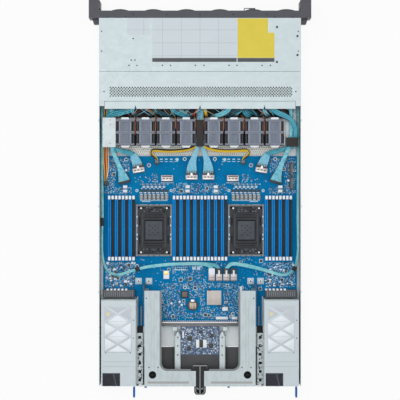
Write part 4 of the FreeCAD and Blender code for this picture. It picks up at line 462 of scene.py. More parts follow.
# Dark plates: on the bay floor and over the card's ports.
DARK_PLATE = Finish("dark_plate", (0.022, 0.023, 0.026), (0.045, 0.047, 0.053), 18)
LATCH = Finish("latch_grey", (0.016, 0.017, 0.019), (0.036, 0.038, 0.042), 70, rough=0.6, gloss=0.2)
FAINT_LINE = Finish("faint_line", (0.34, 0.4, 0.42), (0.4, 0.46, 0.48), 60, Effect.BRUSHED)
DOCK = Finish("dock_plastic", (0.05, 0.055, 0.065), (0.085, 0.092, 0.105), 70)
DOCK_RIB = Finish("dock_rib", (0.15, 0.165, 0.19), (0.22, 0.235, 0.26), 90)
POST_PLATE = Finish("post_plate", (0.42, 0.52, 0.58), (0.58, 0.66, 0.7), 60, Effect.BRUSHED, metallic=0.2)
BAR = Finish("connector_bar", (0.17, 0.175, 0.185), (0.27, 0.27, 0.275), 70)
BROWN_CHIP = Finish("brown_chip", (0.1, 0.085, 0.08), (0.2, 0.165, 0.15), 190, rough=0.4)
EDGE = Finish("pale_brushed_grey", (0.33, 0.36, 0.39), (0.5, 0.53, 0.56), 60, Effect.BRUSHED)
KNOB = Finish("knob_black", (0.003, 0.003, 0.004), (0.008, 0.008, 0.01), 90, rough=0.7, gloss=0.1)
FAN_LID = Finish("supply_fan_lid", (0.02, 0.021, 0.03), (0.046, 0.048, 0.062), 140, rough=0.6, gloss=0.2)
DULL_EMBOSS = Finish("supply_emboss_dull", (0.56, 0.6, 0.66), (0.66, 0.7, 0.76), 90, Effect.SPANGLE)
VENT_PALE = Finish("vent_pale", (0.66, 0.75, 0.79), (0.74, 0.82, 0.86), 90)
LAMP = Finish("lamp_lens", (0.08, 0.3, 0.13), (0.15, 0.6, 0.25), 200, rough=0.2, glow=0.15)


class Shaper:
    """Collects shapes made with mesh operators, in millimetres, into one piece."""

    CREASE = math.radians(35)
    MERGE = 0.0005

    def __init__(self, base: float = 0.0) -> None:
        """Start an empty mesh, with a height that its heights are counted from."""
        self.mesh = bmesh.new()
        self.base = base

    def _dress(self, verts: Iterable[bmesh.types.BMVert], paint: int, bevel: float) -> None:
        """Give new faces their finish and soften their edges.

        Args:
            verts: The vertices of the new shape.
            paint: Index of the finish.
            bevel: Width of the softened edge, or 0.
        """
        for face in {f for v in verts for f in v.link_faces}:
            face.material_index = paint
        if bevel:
            edges = list({e for v in verts for e in v.link_edges})
            bmesh.ops.bevel(self.mesh, geom=edges, offset=bevel, offset_type="OFFSET", segments=2,
                            profile=0.5, affect="EDGES", material=-1)

    def slab(self, middle: Place, reach: Place, heights: Place, bevel: float = 0.0, paint: int = 0,
             turn: float = 0.0) -> None:
        """A block about an upright line.

        Args:
            middle: X and Y of the line.
            reach: How far it goes to each side in X and Y.
            heights: Its lowest and highest height.
            bevel: Width of the softened edges.
            paint: Index of the finish.
            turn: Degrees about the line.
        """
        place = shifted(*middle, sum(heights) / 2, turn)
        place = place @ Matrix.Diagonal((reach[0] * 2, reach[1] * 2, heights[1] - heights[0], 1.0))
        self._dress(bmesh.ops.create_cube(self.mesh, size=1.0, matrix=place)["verts"], paint, bevel)

    def box(self, first: Place, second: Place, bevel: float = 0.0, paint: int = 0) -> None:
        """A block between two corners.

        Args:
            first: One corner.
            second: The opposite corner.
            bevel: Width of the softened edges.
            paint: Index of the finish.
        """
        middle = [(a + b) / 2 for a, b in zip(first, second)]
        reach = [abs(a - b) / 2 for a, b in zip(first, second)]
        self.slab(middle[:2], reach[:2], (middle[2] - reach[2], middle[2] + reach[2]), bevel, paint)

    def rod(self, start: Place, end: Place, radius: float, tip: Optional[float] = None, sides: int = 20,
            bevel: float = 0.0, paint: int = 0) -> None:
        """A cylinder or cone between two points.

        Args:
            start: Middle of the first end.
            end: Middle of the other end.
            radius: Radius at the start.
            tip: Radius at the end, the same if left out.
            sides: Number of sides.
            bevel: Width of the softened edges.
            paint: Index of the finish.
        """
        start, end = Vector(start), Vector(end)
        run = end - start
        place = Matrix.Translation((start + end) / 2) @ run.to_track_quat("Z", "Y").to_matrix().to_4x4()
        made = bmesh.ops.create_cone(
            self.mesh, cap_ends=True, cap_tris=False, segments=sides, radius1=radius,
            radius2=radius if tip is None else tip, depth=run.length, matrix=place)
        self._dress(made["verts"], paint, bevel)

    def disc(self, middle: Place, heights: Place, radius: float, tip: Optional[float] = None, sides: int = 20,
             bevel: float = 0.0, paint: int = 0) -> None:
        """An upright cylinder or cone.

        Args:
            middle: X and Y of its axis.
            heights: Its lowest and highest height.
            radius: Radius at the bottom.
            tip: Radius at the top, the same if left out.
            sides: Number of sides.
            bevel: Width of the softened edges.
            paint: Index of the finish.
        """
        self.rod((*middle, heights[0]), (*middle, heights[1]), radius, tip, sides, bevel, paint)

    def plate(self, outline: Sequence[Place], low: float, high: float, bevel: float = 0.0,
              paint: int = 0) -> None:
        """A flat outline raised from one height to another.

        Args:
            outline: Corners as X and Y, in order.
            low: Lower height.
            high: Upper height.
            bevel: Width of the softened edges.
            paint: Index of the finish.
        """
        first = self.mesh.faces.new([self.mesh.verts.new((x, y, low)) for x, y in outline])
        made = bmesh.ops.extrude_face_region(self.mesh, geom=[first], use_keep_orig=True)["geom"]
        top = [item for item in made if isinstance(item, bmesh.types.BMVert)]
        bmesh.ops.translate(self.mesh, vec=(0.0, 0.0, high - low), verts=top)
        whole = list({v for f in {f for v in top for f in v.link_faces} for v in f.verts})
        faces = list({f for v in whole for f in v.link_faces})
        bmesh.ops.recalc_face_normals(self.mesh, faces=faces)
        self._dress(whole, paint, bevel)

    def lathe(self, profile: Sequence[Place], centre: Place, axis: str = "Z", sides: int = 24,
              paint: int = 0) -> None:
        """A turned shape.

        Args:
            profile: Radius and distance along the axis of each corner.
            centre: Where the axis starts.
            axis: "Z" for upright, "Y" for an axis that runs from front to rear.
            sides: Number of steps round.
            paint: Index of the finish.
        """
        lift = Matrix.Rotation(math.radians(-90), 4, "X") if axis == "Y" else Matrix.Identity(4)
        verts = [self.mesh.verts.new((radius, 0.0, along)) for radius, along in profile]
        edges = [self.mesh.edges.new(pair) for pair in zip(verts, verts[1:])]
        bmesh.ops.spin(self.mesh, geom=verts + edges, cent=(0, 0, 0), axis=(0, 0, 1), angle=math.tau,
                       steps=sides, use_merge=True, use_duplicate=False)
        ring = {v for v in verts if v.is_valid}
        reach = list(ring)
        while reach:
            for edge in reach.pop().link_edges:
                for vert in edge.verts:
                    if vert not in ring:
                        ring.add(vert)
                        reach.append(vert)
        ring = list(ring)
        bmesh.ops.remove_doubles(self.mesh, verts=ring, dist=self.MERGE)
        ring = [v for v in ring if v.is_valid]
        faces = list({f for v in ring for f in v.link_faces})
        bmesh.ops.recalc_face_normals(self.mesh, faces=faces)
        bmesh.ops.transform(self.mesh, matrix=Matrix.Translation(Vector(centre)) @ lift, verts=ring)
        self._dress(ring, paint, 0.0)

    def template(self, name: str = "stamp") -> bpy.types.Mesh:
        """This shape as a mesh, in the units that it has now.

        Args:
            name: Name of the mesh.

        Returns:
            The mesh.
        """
        mesh = bpy.data.meshes.new(name)
        self.mesh.to_mesh(mesh)
        self.mesh.free()
        return mesh

    def stamp(self, template: bpy.types.Mesh, places: Iterable[Matrix]) -> None:
        """Add copies of a shape.

        Args:
            template: The shape.
            places: Where each copy goes.
        """
        for place in places:
            copy = template.copy()
            copy.transform(place)
            self.mesh.from_mesh(copy)
            bpy.data.meshes.remove(copy)

    def done(self, name: str, slot: str, *finishes: Finish, body: str = "chassis",
             stands_for: Sequence[str] = ()) -> None:
        """Finish the piece and fix it to a body.

        Args:
            name: Name of the piece.
            slot: Not used.
            finishes: Finishes by index.
            body: The body it moves with.
            stands_for: Nodes that it replaces.
        """
        bmesh.ops.translate(self.mesh, vec=(0.0, 0.0, self.base), verts=self.mesh.verts[:])
        bmesh.ops.scale(self.mesh, vec=(MM, MM, MM), verts=self.mesh.verts[:])
        mesh = self.template(name)
        mesh.polygons.foreach_set("use_smooth", [True] * len(mesh.polygons))
        mesh.set_sharp_from_angle(angle=self.CREASE)
        fix_piece(name, mesh, body, finishes, stands_for)


def fix_piece(name: str, data: bpy.types.ID, body: str, finishes: Iterable[Finish],
              stands_for: Sequence[str]) -> None:
    """Make an object of a mesh or curve and fix it to a body.

    Args:
        name: Name of the piece.
        data: Its mesh or curve.
        body: The body it moves with.
        finishes: Finishes by index.
        stands_for: Nodes that it replaces.
    """
    for finish in finishes:
        data.materials.append(finish.material())
    piece = bpy.data.objects.new(name, data)
    bpy.context.scene.collection.objects.link(piece)
    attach(piece, body)
    if stands_for:
        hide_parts(*stands_for)
    LOG.info("made %s on %s", name, body)


def dress(finish: Finish, *nodes: str) -> None:
    """Give nodes of the frame a finish.

    Args:
        finish: What they are dressed in.
        nodes: Their names.
    """
    for node in nodes:
        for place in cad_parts[node].material_slots:
            place.material = finish.material()
        LOG.info("dressed %s", node)


def run_wires(name: str, routes: Sequence[Sequence[Place]], radius: float, finish: Finish,
              stands_for: Sequence[str] = ()) -> None:
    """Smooth round wires, one for each route.

    Args:
        name: Name of the piece.
        routes: Control points of each wire, in millimetres.
        radius: Radius of a wire.
        finish: Its jacket.
        stands_for: Nodes that it replaces.
    """
    curve = bpy.data.curves.new(name, "CURVE")
    curve.dimensions = "3D"
    curve.bevel_depth = radius * MM
    curve.bevel_resolution = 3
    curve.use_fill_caps = True
    curve.resolution_u = 8
    for route in routes:
        spline = curve.splines.new("NURBS")
        spline.points.add(len(route) - 1)
        for point, place in zip(spline.points, route):
            point.co = (*(Vector(place) * MM), 1.0)
        spline.order_u = 3
        spline.use_endpoint_u = True
    fix_piece(name, curve, "chassis", [finish], stands_for)


def shifted(x: float, y: float = 0.0, z: float = 0.0, turn: float = 0.0) -> Matrix:
    """A place for a copy, turned in degrees about Z."""
    return Matrix.Translation((x, y, z)) @ Matrix.Rotation(math.radians(turn), 4, "Z")


@dataclass
class Studio:
    """Camera over the case, soft light, and a pale floor."""

    eye_height: float = 3.0
    view_width: float = 0.8672
    centre_y: float = 0.00325
    sensor: float = 36.0
    sky: float = 0.46
    floor_size: float = 8.0
    floor_height: float = -0.0005
    floor_tone: float = 0.9
    floor_glow: float = 0.9
    lamps: tuple = (
        ("overhead", (0.3, -0.3, 3.3), 2.4, 34.0), ("key", (2.0, -2.6, 1.6), 2.2, 22.0),
        ("fill", (-2.4, 2.4, 1.6), 2.4, 22.0))

    def build(self) -> None:
        """Set up the whole studio."""
        self._camera()
        self._lamps()
        self._world()
        self._floor()
        bpy.context.scene.view_settings.view_transform = "Standard"

    @staticmethod
    def _place(name: str, data: bpy.types.ID) -> bpy.types.Object:
        """A new object in the scene.

        Args:
            name: Its name.
            data: Its camera, light or mesh.

        Returns:
            The object.
        """
        thing = bpy.data.objects.new(name, data)
        bpy.context.scene.collection.objects.link(thing)
        return thing

    def _camera(self) -> None:
        """A camera that looks straight down with the front of the case at the top of the picture."""
        data = bpy.data.cameras.new("camera")
        data.sensor_width = self.sensor
        data.lens = self.sensor * self.eye_height / self.view_width
        camera = self._place("camera", data)
        camera.location = (0.0, self.centre_y, CAD_BOX[1].z + self.eye_height)
        camera.rotation_euler = (0.0, 0.0, math.pi)
        bpy.context.scene.camera = camera

    def _lamps(self) -> None:
        """A large soft lamp overhead and weaker ones before and behind, aimed at the middle of the case."""
        for name, place, size, power in self.lamps:
            data = bpy.data.lights.new(name, "AREA")
            data.shape = "SQUARE"
            data.size = size
            data.energy = power
            lamp = self._place(name, data)
            lamp.location = place
            lamp.rotation_euler = (-Vector(place)).to_track_quat("-Z", "Y").to_euler()

    @staticmethod
    def _seen(w: NodeWeaver) -> Socket:
        """1 for what the camera sees, also in metal and through glass.

        Args:
            w: The weaver of the material or world.

        Returns:
            The value.
        """
        path = w.add("ShaderNodeLightPath").outputs
        shown = w.math("MAXIMUM", path["Is Glossy Ray"], path["Is Transmission Ray"])
        return w.math("MAXIMUM", path["Is Camera Ray"], shown)

    def _world(self) -> None:
        """White to the camera and to reflections, softer as light."""
        world = bpy.data.worlds.new("studio")
        w = empty_tree(world)
        strength = w.math("ADD", w.times(self._seen(w), 1.0 - self.sky), self.sky)
        light = w.add("ShaderNodeBackground", {"Color": (1.0, 1.0, 1.0, 1.0), "Strength": strength})
        w.add("ShaderNodeOutputWorld", {"Surface": light.outputs[0]})
        bpy.context.scene.world = world

    def _floor(self) -> None:
        """A pale floor just under the case that keeps its shadow."""
        shape = Shaper()
        bmesh.ops.create_grid(shape.mesh, x_segments=1, y_segments=1, size=self.floor_size / 2)
        bmesh.ops.translate(shape.mesh, vec=(0.0, 0.0, self.floor_height), verts=shape.mesh.verts[:])
        mesh = shape.template("floor")
        made = bpy.data.materials.new("floor")
        w = empty_tree(made)
        paint = w.add("ShaderNodeBsdfDiffuse", {"Color": (*[self.floor_tone] * 3, 1.0)})
        white = w.add("ShaderNodeEmission", {"Color": (1.0, 1.0, 1.0, 1.0), "Strength": 1.0})
        share = w.times(self._seen(w), self.floor_glow)
        blend = w.add("ShaderNodeMixShader", {0: share, 1: paint.outputs[0], 2: white.outputs[0]})
        w.add("ShaderNodeOutputMaterial", {"Surface": blend.outputs[0]})
        mesh.materials.append(made)
        floor = self._place("floor", mesh)


@dataclass
class Case:
    """Covers, walls and the dark front rail, with plain panels, screws and rivets."""

    top: float = 43.5
    film: float = 0.06
    side: float = 219.0
    panel_front: float = -390.6
    panel_rear: float = -305.0
    band: tuple = (-304.6, -296.2)
    hole_radius: float = 1.6
    hole_row: float = -288.6
    dimple_rows: tuple = (-399.3, -394.2)
    vent_pitch: float = 6.0
    vent_step: float = 3.1
    vent_row: float = -231.5
    vent_inset: float = 19.0
    vent_count: int = 66
    rivet_count: int = 9
    rivet_start: float = -372.0
    rivet_pitch: float = 93.0

    def build(self) -> None:
        """Dress the sheets and add what is fixed to them."""
        dress(SHEET, "front_cover", "mid_cover")
        dress(INNER_SHEET, "chassis_base", "inner_brackets")
        dress(DARK_PAINT, "drive_cage")
        dress(GREEN_BOARD, "backplane")
        self._panels()
        self._fasteners()
        self._vent()

    def _vent(self) -> None:
        """Dark rings round the holes of the middle cover painted as their shade, pale rows, and the line of
        its step painted darker as shade.
        """
        dark, pale, vent = Shaper(), Shaper(), Shaper()
        low, thick = self.top - 0.01, 0.05
        # Dark rings widen the painted shade of each hole.
        dark.lathe(((1.45, 0), (1.95, 0), (1.95, thick), (1.45, thick), (1.45, 0)), (0, 0, low), sides=4)
        pale.lathe(((0, 0), (1.3, 0), (1.3, thick), (0, thick)), (0, 0, low), sides=4, paint=1)
        start = self.vent_inset - self.side + self.vent_pitch / 4
        for shape, rows in ((dark, range(-3, 4)), (pale, range(-8, -3))):
            vent.stamp(shape.template(), [
                shifted(start + self.vent_pitch * (k + i % 2 / 2), self.vent_row + i * self.vent_step)
                for i in rows for k in range(self.vent_count)])
        # Darker line painted as the shade along the step.
        vent.box((-206.8, -211.5, 42.4), (206.8, -210.3, 42.56), paint=2)
        vent.done("cover_vent", "galvanised", HOLE, VENT_PALE, FAINT_LINE)

    def _panels(self) -> None:
        """Plain panels on the front cover, each with a dark band along its rear edge."""
        front, rear, (band, band_end) = self.panel_front, self.panel_rear, self.band
        white = Shaper(self.top)
        white.box((109.5, front, 0), (157.5, -355, self.film))
        white.box((-79.6, front, 0), (103.5, rear, self.film))
        white.box((-79.6, band, 0), (103.5, band_end, self.film), paint=1)
        white.done("cover_panels_white", "galvanised", PANEL, DARK_PANEL)
        yellow = Shaper(self.top)
        yellow.plate(((-81.3, front), (-147.4, front), (-147.4, -359.6), (-161.5, -359.6), (-161.5, rear),
                      (-81.3, rear)), 0, self.film)
        yellow.box((-161.5, band, 0), (-81.3, band_end, self.film), paint=1)
        yellow.done("cover_panel_yellow", "galvanised", YELLOW_PANEL, DARK_PANEL)

    def _fasteners(self) -> None:
        """Screw holes in the covers, dimples in the front rail, and rivets along the walls."""
        holes = Shaper(self.top)
        for at in ((-166.9, -371.8), (-166.9, -295.9), (-211.4, -352.3), (-211.4, -311.1)):
            holes.disc(at, (-0.2, 0.05), 2.5, sides=18)
        places = [(144.8, -346.9), (141, -300), (149, -300), (-208, -232), (208, -232)]
        for y, row in ((self.hole_row, (153.9, 136.6, 81.3, 63.7, 9.8, -8.7, -62.9, -80.2, -134.4, -152.6)),
                       (self.dimple_rows[0], (144.4, 72.2, 0, -72.2, -144.4)),
                       (self.dimple_rows[1], (-162, -200.8, 162, 200.8))):
            places += [(x, y) for x in row]
        for at in places:
            holes.disc(at, (-0.2, 0.03), self.hole_radius, sides=14)
        holes.done("cover_holes", "galvanised", HOLE)
        heads = Shaper()
        for sign in SIDES:
            for i in range(self.rivet_count):
                for z in (9, 35):
                    y = self.rivet_start + i * self.rivet_pitch
                    heads.rod(
                        (sign * (self.side - 0.2), y, z), (sign * (self.side + 0.7), y, z), 2.6, 1.8, 16)
        heads.done("wall_rivets", "galvanised", STEEL)


@dataclass
class DriveBays:
    """Twelve trays with pierced levers, a release pad and two lamps each."""

    count: int = 12
    columns: int = 6
    pitch: float = 72.2
    face: float = -408.3
    rows: tuple = ((1.3, 21.05), (22.45, 42.2))
    pad: tuple = (17.8, 27.0, 3.6)
    ridges: int = 4
    ridge_pitch: float = 1.9
    lamp_x: float = 31.4

    def build(self) -> None:
        """Dress the trays and add their pads and lamps."""
        dress(DARK_PAINT, "info_tag")
        for n in range(1, self.count + 1):
            dress(TRAY, f"drive_tray_{n}")
            dress(LEVER, f"tray_lever_{n}")
            self._face(n)

    def _face(self, n: int) -> None:
        """The pad and lamps on one tray's bezel.

        Args:
            n: Number of the tray, from 1.
        """
        x = ((n - 1) % self.columns - (self.columns - 1) / 2) * self.pitch
        y, z = self.face, sum(self.rows[(n - 1) // self.columns]) / 2
        shape = Shaper(z)
        start, end, half = self.pad
        shape.box((x + start, y - 0.3, -half), (x + end, y + 0.3, half), 0.2)
        for i in range(self.ridges):
            low = x + start + 1.8 + i * self.ridge_pitch
            shape.box((low, y - 0.5, -2.8), (low + 0.7, y, 2.8), 0.15)
        for height in (-4, 4):
            shape.rod(
                (x + self.lamp_x, y + 1.2, height), (x + self.lamp_x, y - 0.3, height), 1, 0.7, 14, paint=1)
        shape.done(f"tray_face_{n}", "tray_metal", GROOVE, LAMP, body=f"drive_tray_{n}")


@dataclass
class RackEars:
    """Dark ears with a glossy window, a ring round the button and status lamps."""

    x: float = 232.55
    nose: float = -435.5
    button_z: float = 21.75
    lamp_z: float = 17.0
    lamp_pitch: float = 4.75

    def build(self) -> None:
        """Dress the ears and the button and add their small parts."""
        dress(EAR, "rack_ears")
        dress(GLOSS_BLACK, "power_button")
        trim = Shaper()
        ring = ((4.3, 0), (5.6, 0), (5.3, -0.6), (4.5, -0.6), (4.3, 0))
        trim.lathe(ring, (-self.x, self.nose, self.button_z), "Y", 28)
        trim.box((self.x - 3.4, self.nose - 0.3, 12.5), (self.x + 3.4, self.nose + 0.2, 31), 0.25, 1)
        for i in range(3):
            z = self.lamp_z + i * self.lamp_pitch
            trim.rod((self.x, self.nose, z), (self.x, self.nose - 0.6, z), 1.1, 0.8, 14, paint=2)
        trim.done("ear_trim", "dark_plastic", STEEL, GLOSS_BLACK, LAMP)


@dataclass
class FanBank:
    """Eight housings with ribs, white end clips, lead wires between them, and the sheets round them."""

    centres: tuple = (-162.5, -118.3, -74.1, -29.9, 29.9, 74.1, 118.3, 162.5)
    outer_gaps: tuple = (-182.6, 182.4, -8.9, 8.9)
    widest_gap: float = 50.0
    front: float = -171.5
    rear: float = -115.5
    top: float = 42.0
    half: float = 20.0
    flange: float = 4.0
    film: float = 0.1
    wire: float = 0.6
    seed: int = 5

    def build(self) -> None:
        """Dress the housings and wheels and add their small parts."""
        dress(FAN, "fan_frames")
        dress(ROTOR, *(f"fan_rotor_{n}" for n in range(1, 9)), "psu_rotor_left", "psu_rotor_right")
        self._tops()
        self._clips()
        self._wires()
        self._sheets()

    def _pairs(self) -> list:
        """Neighbouring housings with a narrow gap between them."""
        return [(a, b) for a, b in zip(self.centres, self.centres[1:]) if b - a < self.widest_gap]

    def _tops(self) -> None:
        """Pale flange faces and ribs, the ribs a painted highlight, thin bars in the open corners, and
        painted shade in the gaps.
        """
        one, tops = Shaper(), Shaper(self.top)
        half, reach, middle = self.half, self.flange / 2, (self.front + self.rear) / 2
        for y in (self.front + reach, middle, self.rear - reach):
            one.slab((0, y), (half, reach), (-0.05, self.film))
            one.slab((0, y), (half, 0.3), (0, 0.16), paint=1)
        for low, high in (
                (self.front + self.flange, middle - reach), (middle + reach, self.rear - self.flange)):
            # Ribs painted paler than the flanges, as highlight along the spine.
            for x in (-13.4, 10.4):
                one.box((x, low + 0.4, -6), (x + 3, high - 0.4, 0.3), 0.2, 2)
            for x in (-17.6, -14.2, 14.2, 17.6):
                one.box((x - 0.35, low - 0.5, -2.4), (x + 0.35, high + 0.5, -1.8), paint=1)
            one.box((-5.6, low + 2, -0.1), (5.6, low + 2.6, 0.05), paint=1)
        tops.stamp(one.template(), [shifted(x) for x in self.centres])
        # Dark strip low in each narrow gap, painted as the shade between the housings.
        for a, b in self._pairs():
            tops.box((a + half, self.front, -7), (b - half, self.rear, -6), paint=3)
        tops.done("fan_tops", "fan_plastic", FAN_FACE, FAN_LINE, FAN_RIB_HIGHLIGHT, KNOB)

    def _clips(self) -> None:
        """White clips that hold each housing at both ends."""
        one, clips = Shaper(), Shaper()
        rear, front = self.rear, self.front
        one.plate(((-10.4, rear), (10.4, rear), (7, rear + 5), (-7, rear + 5)), 34, 40, 0.4)
        one.box((-8, rear + 0.2, 39.9), (8, rear + 1, 40.3), paint=1)
        one.plate(((-8.8, front), (8.8, front), (7.6, front - 4.6), (-7.6, front - 4.6)), 35, 41.4, 0.4)
        clips.stamp(one.template(), [shifted(x) for x in self.centres])
        clips.done("fan_clips", "latch_white", WHITE, GROOVE)

    def _wires(self) -> None:
        """Lead wires that run forward in the gaps between the housings."""
        chance = random.Random(self.seed)
        kinds = ((DARK_RED, -1, 38), (ORANGE, 0.9, 39.4), (DARK_WIRE, 0, 39.8))
        routes: dict[Finish, list] = {finish: [] for finish, _, _ in kinds}
        for x in [(a + b) / 2 for a, b in self._pairs()] + list(self.outer_gaps):
            for finish, shift, height in kinds:
                bend = chance.uniform(-0.7, 0.7)
                end = chance.uniform(-150, -132)
                near, far = x + shift, x + shift * 2
                routes[finish].append(
                    [(near, end, 30), (near, end - 6, height - 1), (near + bend, -158, height),
                     (near, -168, height - 0.5), (far, -176, height - 4), (far + bend * 6, -181, height - 14),
                     (far + bend * 9, -183, 12)])
        for finish, paths in routes.items():
            run_wires(f"fan_wires_{finish.name}", paths, self.wire, finish)

    def _sheets(self) -> None:
        """Pierced strip behind the fans painted bright as light, a dark floor sheet painted as shade before
        them, and a pale sheet by the left wall.
        """
        shape = Shaper()
        # Pierced strip, painted bright as light against the shade of the fans.
        shape.box((-183, self.rear + 0.5, 2), (183, -95.6, 2.25))
        # Dark floor sheet, painted as the shade under the middle cover, its holes and the cables before the
        # fans.
        shape.box((-205, -288, 1), (205, -177.8, 1.3), paint=1)
        shape.box((-198.5, self.front, 24), (-185, -133, 25), 0.2, 2)
        for y in (-170, -160.6, -119.6):
            shape.disc((195, y), (41.4, 41.56), 1.7, sides=16, paint=3)
        shape.done("fan_sheets", "galvanised", LIT_STRIP, HOLE, SHEET, GROOVE)


@dataclass
class MainBoard:
    """The blue board with plugs, chokes, a finned heatsink, a coin cell and its crowd of small parts."""

    top: float = 8.2
    edge: float = 209.0
    dock_line: tuple = (212.0, 134.0)
    socket_x: float = 100.9
    choke_pitch: float = 9.2
    capacitor_pitch: float = 8.8
    screw_reach: float = 37.5
    small_plug: tuple = (-25.6, -16.1)
    dock: tuple = (142.5, 211.5, 198.7, 216.7)
    sink: tuple = (-46.5, -15.5, 201.8, 232.8)
    fin_pitch: float = 2.63
    cell_place: tuple = (16.0, 233.8)
    seed: int = 11
    block_seed: int = 17
    block_count: int = 46
    cell: float = 2.5
    large_kind: float = 0.93

    def build(self) -> None:
        """Dress the board and set its parts on it."""
        dress(BOARD, "motherboard")
        self._chokes()
        self._plugs()
        self._connectors()
        self._chips()
        self._small_parts()

    def _chokes(self) -> None:
        """Two rows of chokes in front of the processors, with switches and capacitors before them."""
        shape = Shaper(self.top)
        for middle in (-self.socket_x, self.socket_x):
            for i in range(7):
                x = middle + self.choke_pitch * (i - 3)
                shape.slab((x, -3.25), (4, 5.25), (0, 7), 0.5)
                shape.slab((x, -3.4), (2.2, 3), (6.9, 7.15), 0.1, 5)
                shape.slab((x, -3.25), (3, 6.15), (0, 2.2), 0.2, 1)
                shape.slab((x, -17.2), (3.2, 2.8), (0, 1.4), 0.2, 2)
                for dx in (-2.9, 0.1, 2.9):
                    shape.slab((x + dx, -12.6), (0.9, 1.2), (0, 1.2), 0.1, 3 if dx < 0 else 1)
                    shape.slab((x + dx, -31.5), (0.9, 0.9), (0, 1), 0.1, 1 if dx < 0 else 3)
            for i in range(6):
                x = middle + self.capacitor_pitch * (i - 2.5)
                shape.disc((x, -26), (0, 6), 3.25, bevel=0.3, paint=4)
                shape.disc((x, -26), (6, 6.1), 2.5, paint=6)
                shape.plate(
                    ((x - 2.2, -27), (x + 2.2, -27), (x + 1.4, -28.2), (x - 1.4, -28.2)), 6, 6.15, paint=2)
                shape.disc((x + 4.4, -22), (0, 4.4), 1.7, sides=14, bevel=0.2, paint=6)
            shape.slab((middle, 4.3), (30, 0.7), (0, 0.1), paint=6)
            for x in (middle - self.screw_reach, middle + self.screw_reach):
                shape.disc((x, -17.4), (0, 0.3), 3.4, paint=6)
                shape.disc((x, -17.4), (0, 0.4), 1.3, sides=14, paint=2)
        shape.done("choke_rows", "parts_plastic", CHOKE, STEEL, BLACK, CHIP_TAN, CHIP_GREY, EDGE, PALE_METAL,
                   stands_for=["board_components"])

    def _plug(self, kind: PlugKind) -> bpy.types.Mesh:
        """A data plug in its cage.

        Args:
            kind: With a cable head, without one, or a dark one.

        Returns:
            The shape about its middle, cable side toward the front.
        """
        one = Shaper()
        one.box((-13, -6 if kind is PlugKind.BARE else -3.4, 0), (13, 7, 9), 0.5,
                2 if kind is PlugKind.DARK else 0)
        one.box((-12.4, 6.4, 0), (12.4, 8, 3), 0.2, 2)
        if kind is PlugKind.DARK:
            one.box((-12.2, -11.8, 1), (12.2, -3.3, 8.6), 0.6, 2)
            return one.template()
        one.box((-11.6, 3.9, 8.9), (11.6, 5.8, 9.3), 0.15, 1)
        for x in (-7, 0, 7):
            one.slab((x, 1.5), (1.9, 1.1), (8.9, 9.25), 0.1, 2)
        if kind is PlugKind.BARE:
            one.box((-10.5, -4.6, 8.9), (10.5, -2.4, 9.2), 0.1, 2)
        else:
            one.box((-12.2, -11.8, 1), (12.2, -3.3, 9), 0.6, 2)
            one.box((-11, -10.6, 8.9), (11, -8.4, 9.2), 0.1, 3)
            one.plate(((-3, -1.6), (3, -1.6), (1.6, -7.6), (-1.6, -7.6)), 8.9, 9.5, 0.2, 1)
        return one.template()

    def _plugs(self) -> None:
        """Data plugs and fan plugs at the front of the board, and four small plugs near its middle."""
        full, bare, dark = (self._plug(kind) for kind in (PlugKind.FULL, PlugKind.BARE, PlugKind.DARK))
        plugs = Shaper(self.top)
        post = ((2.2, 0), (4.8, 0), (4.8, 3), (4.2, 3.6), (2.8, 3.6), (2.2, 3), (2.2, 0))
        for sign in SIDES:
            plugs.stamp(full, [shifted(sign * 18.3, -48.4), shifted(sign * 134.8, -64, turn=sign * 10)])
            plugs.stamp(dark, [shifted(sign * 166.5, -41, turn=sign * 15)])
            plugs.stamp(bare, [shifted(sign * 72, -45)])
            plugs.slab((sign * 94.5, -79), (5, 4), (0, 7.5), 0.4, 2)
            plugs.slab((sign * 94.5, -80.7), (3.6, 2.7), (6, 8), 0.2, 3)
            plugs.lathe(post, (sign * 112, -73, 0), paint=5)
        plugs.box((200.5, -37, 0), (210.5, -29, 8), 0.4, 2)
        for y0, y1, high in ((-78, -50, 9), (-46, -20, 7)):
            plugs.box((-203.6, y0, 0), (-196, y1, high), 0.4, 2)
            plugs.box((-203.2, y0 + 1, high - 0.1), (-202.4, y1 - 1, high + 0.2), 0.1, 5)
            plugs.box((-200.6, y0 + 2, high - 0.1), (-199, y1 - 2, high + 0.15), 0.1, 3)
        start, step = self.small_plug
        for i in range(4):
            x = start + step * i
            if i == 0:
                plugs.slab((x, 160), (6.8, 7), (0, 8.6), 0.4, 4)
            else:
                plugs.slab((x, 159), (6.2, 6), (0, 8.7), 0.5, 2)
                plugs.plate(((x - 2.2, 170), (x + 2.2, 170), (x + 1.6, 157), (x - 1.6, 157)), 8.6, 9, 0.15, 4)
            plugs.slab((x, 172), (6.8, 7), (0, 7.4), 0.4)
            plugs.slab((x, 172.6), (5.4, 0.6), (7.3, 7.6), paint=3)
            plugs.slab((x, 180), (6.4, 1), (0, 4), 0.2, 3)
        plugs.done("board_plugs", "parts_plastic", PLUG, STEEL, BLACK, CHOKE, WHITE, CHIP_GREY,
                   stands_for=["board_components"])

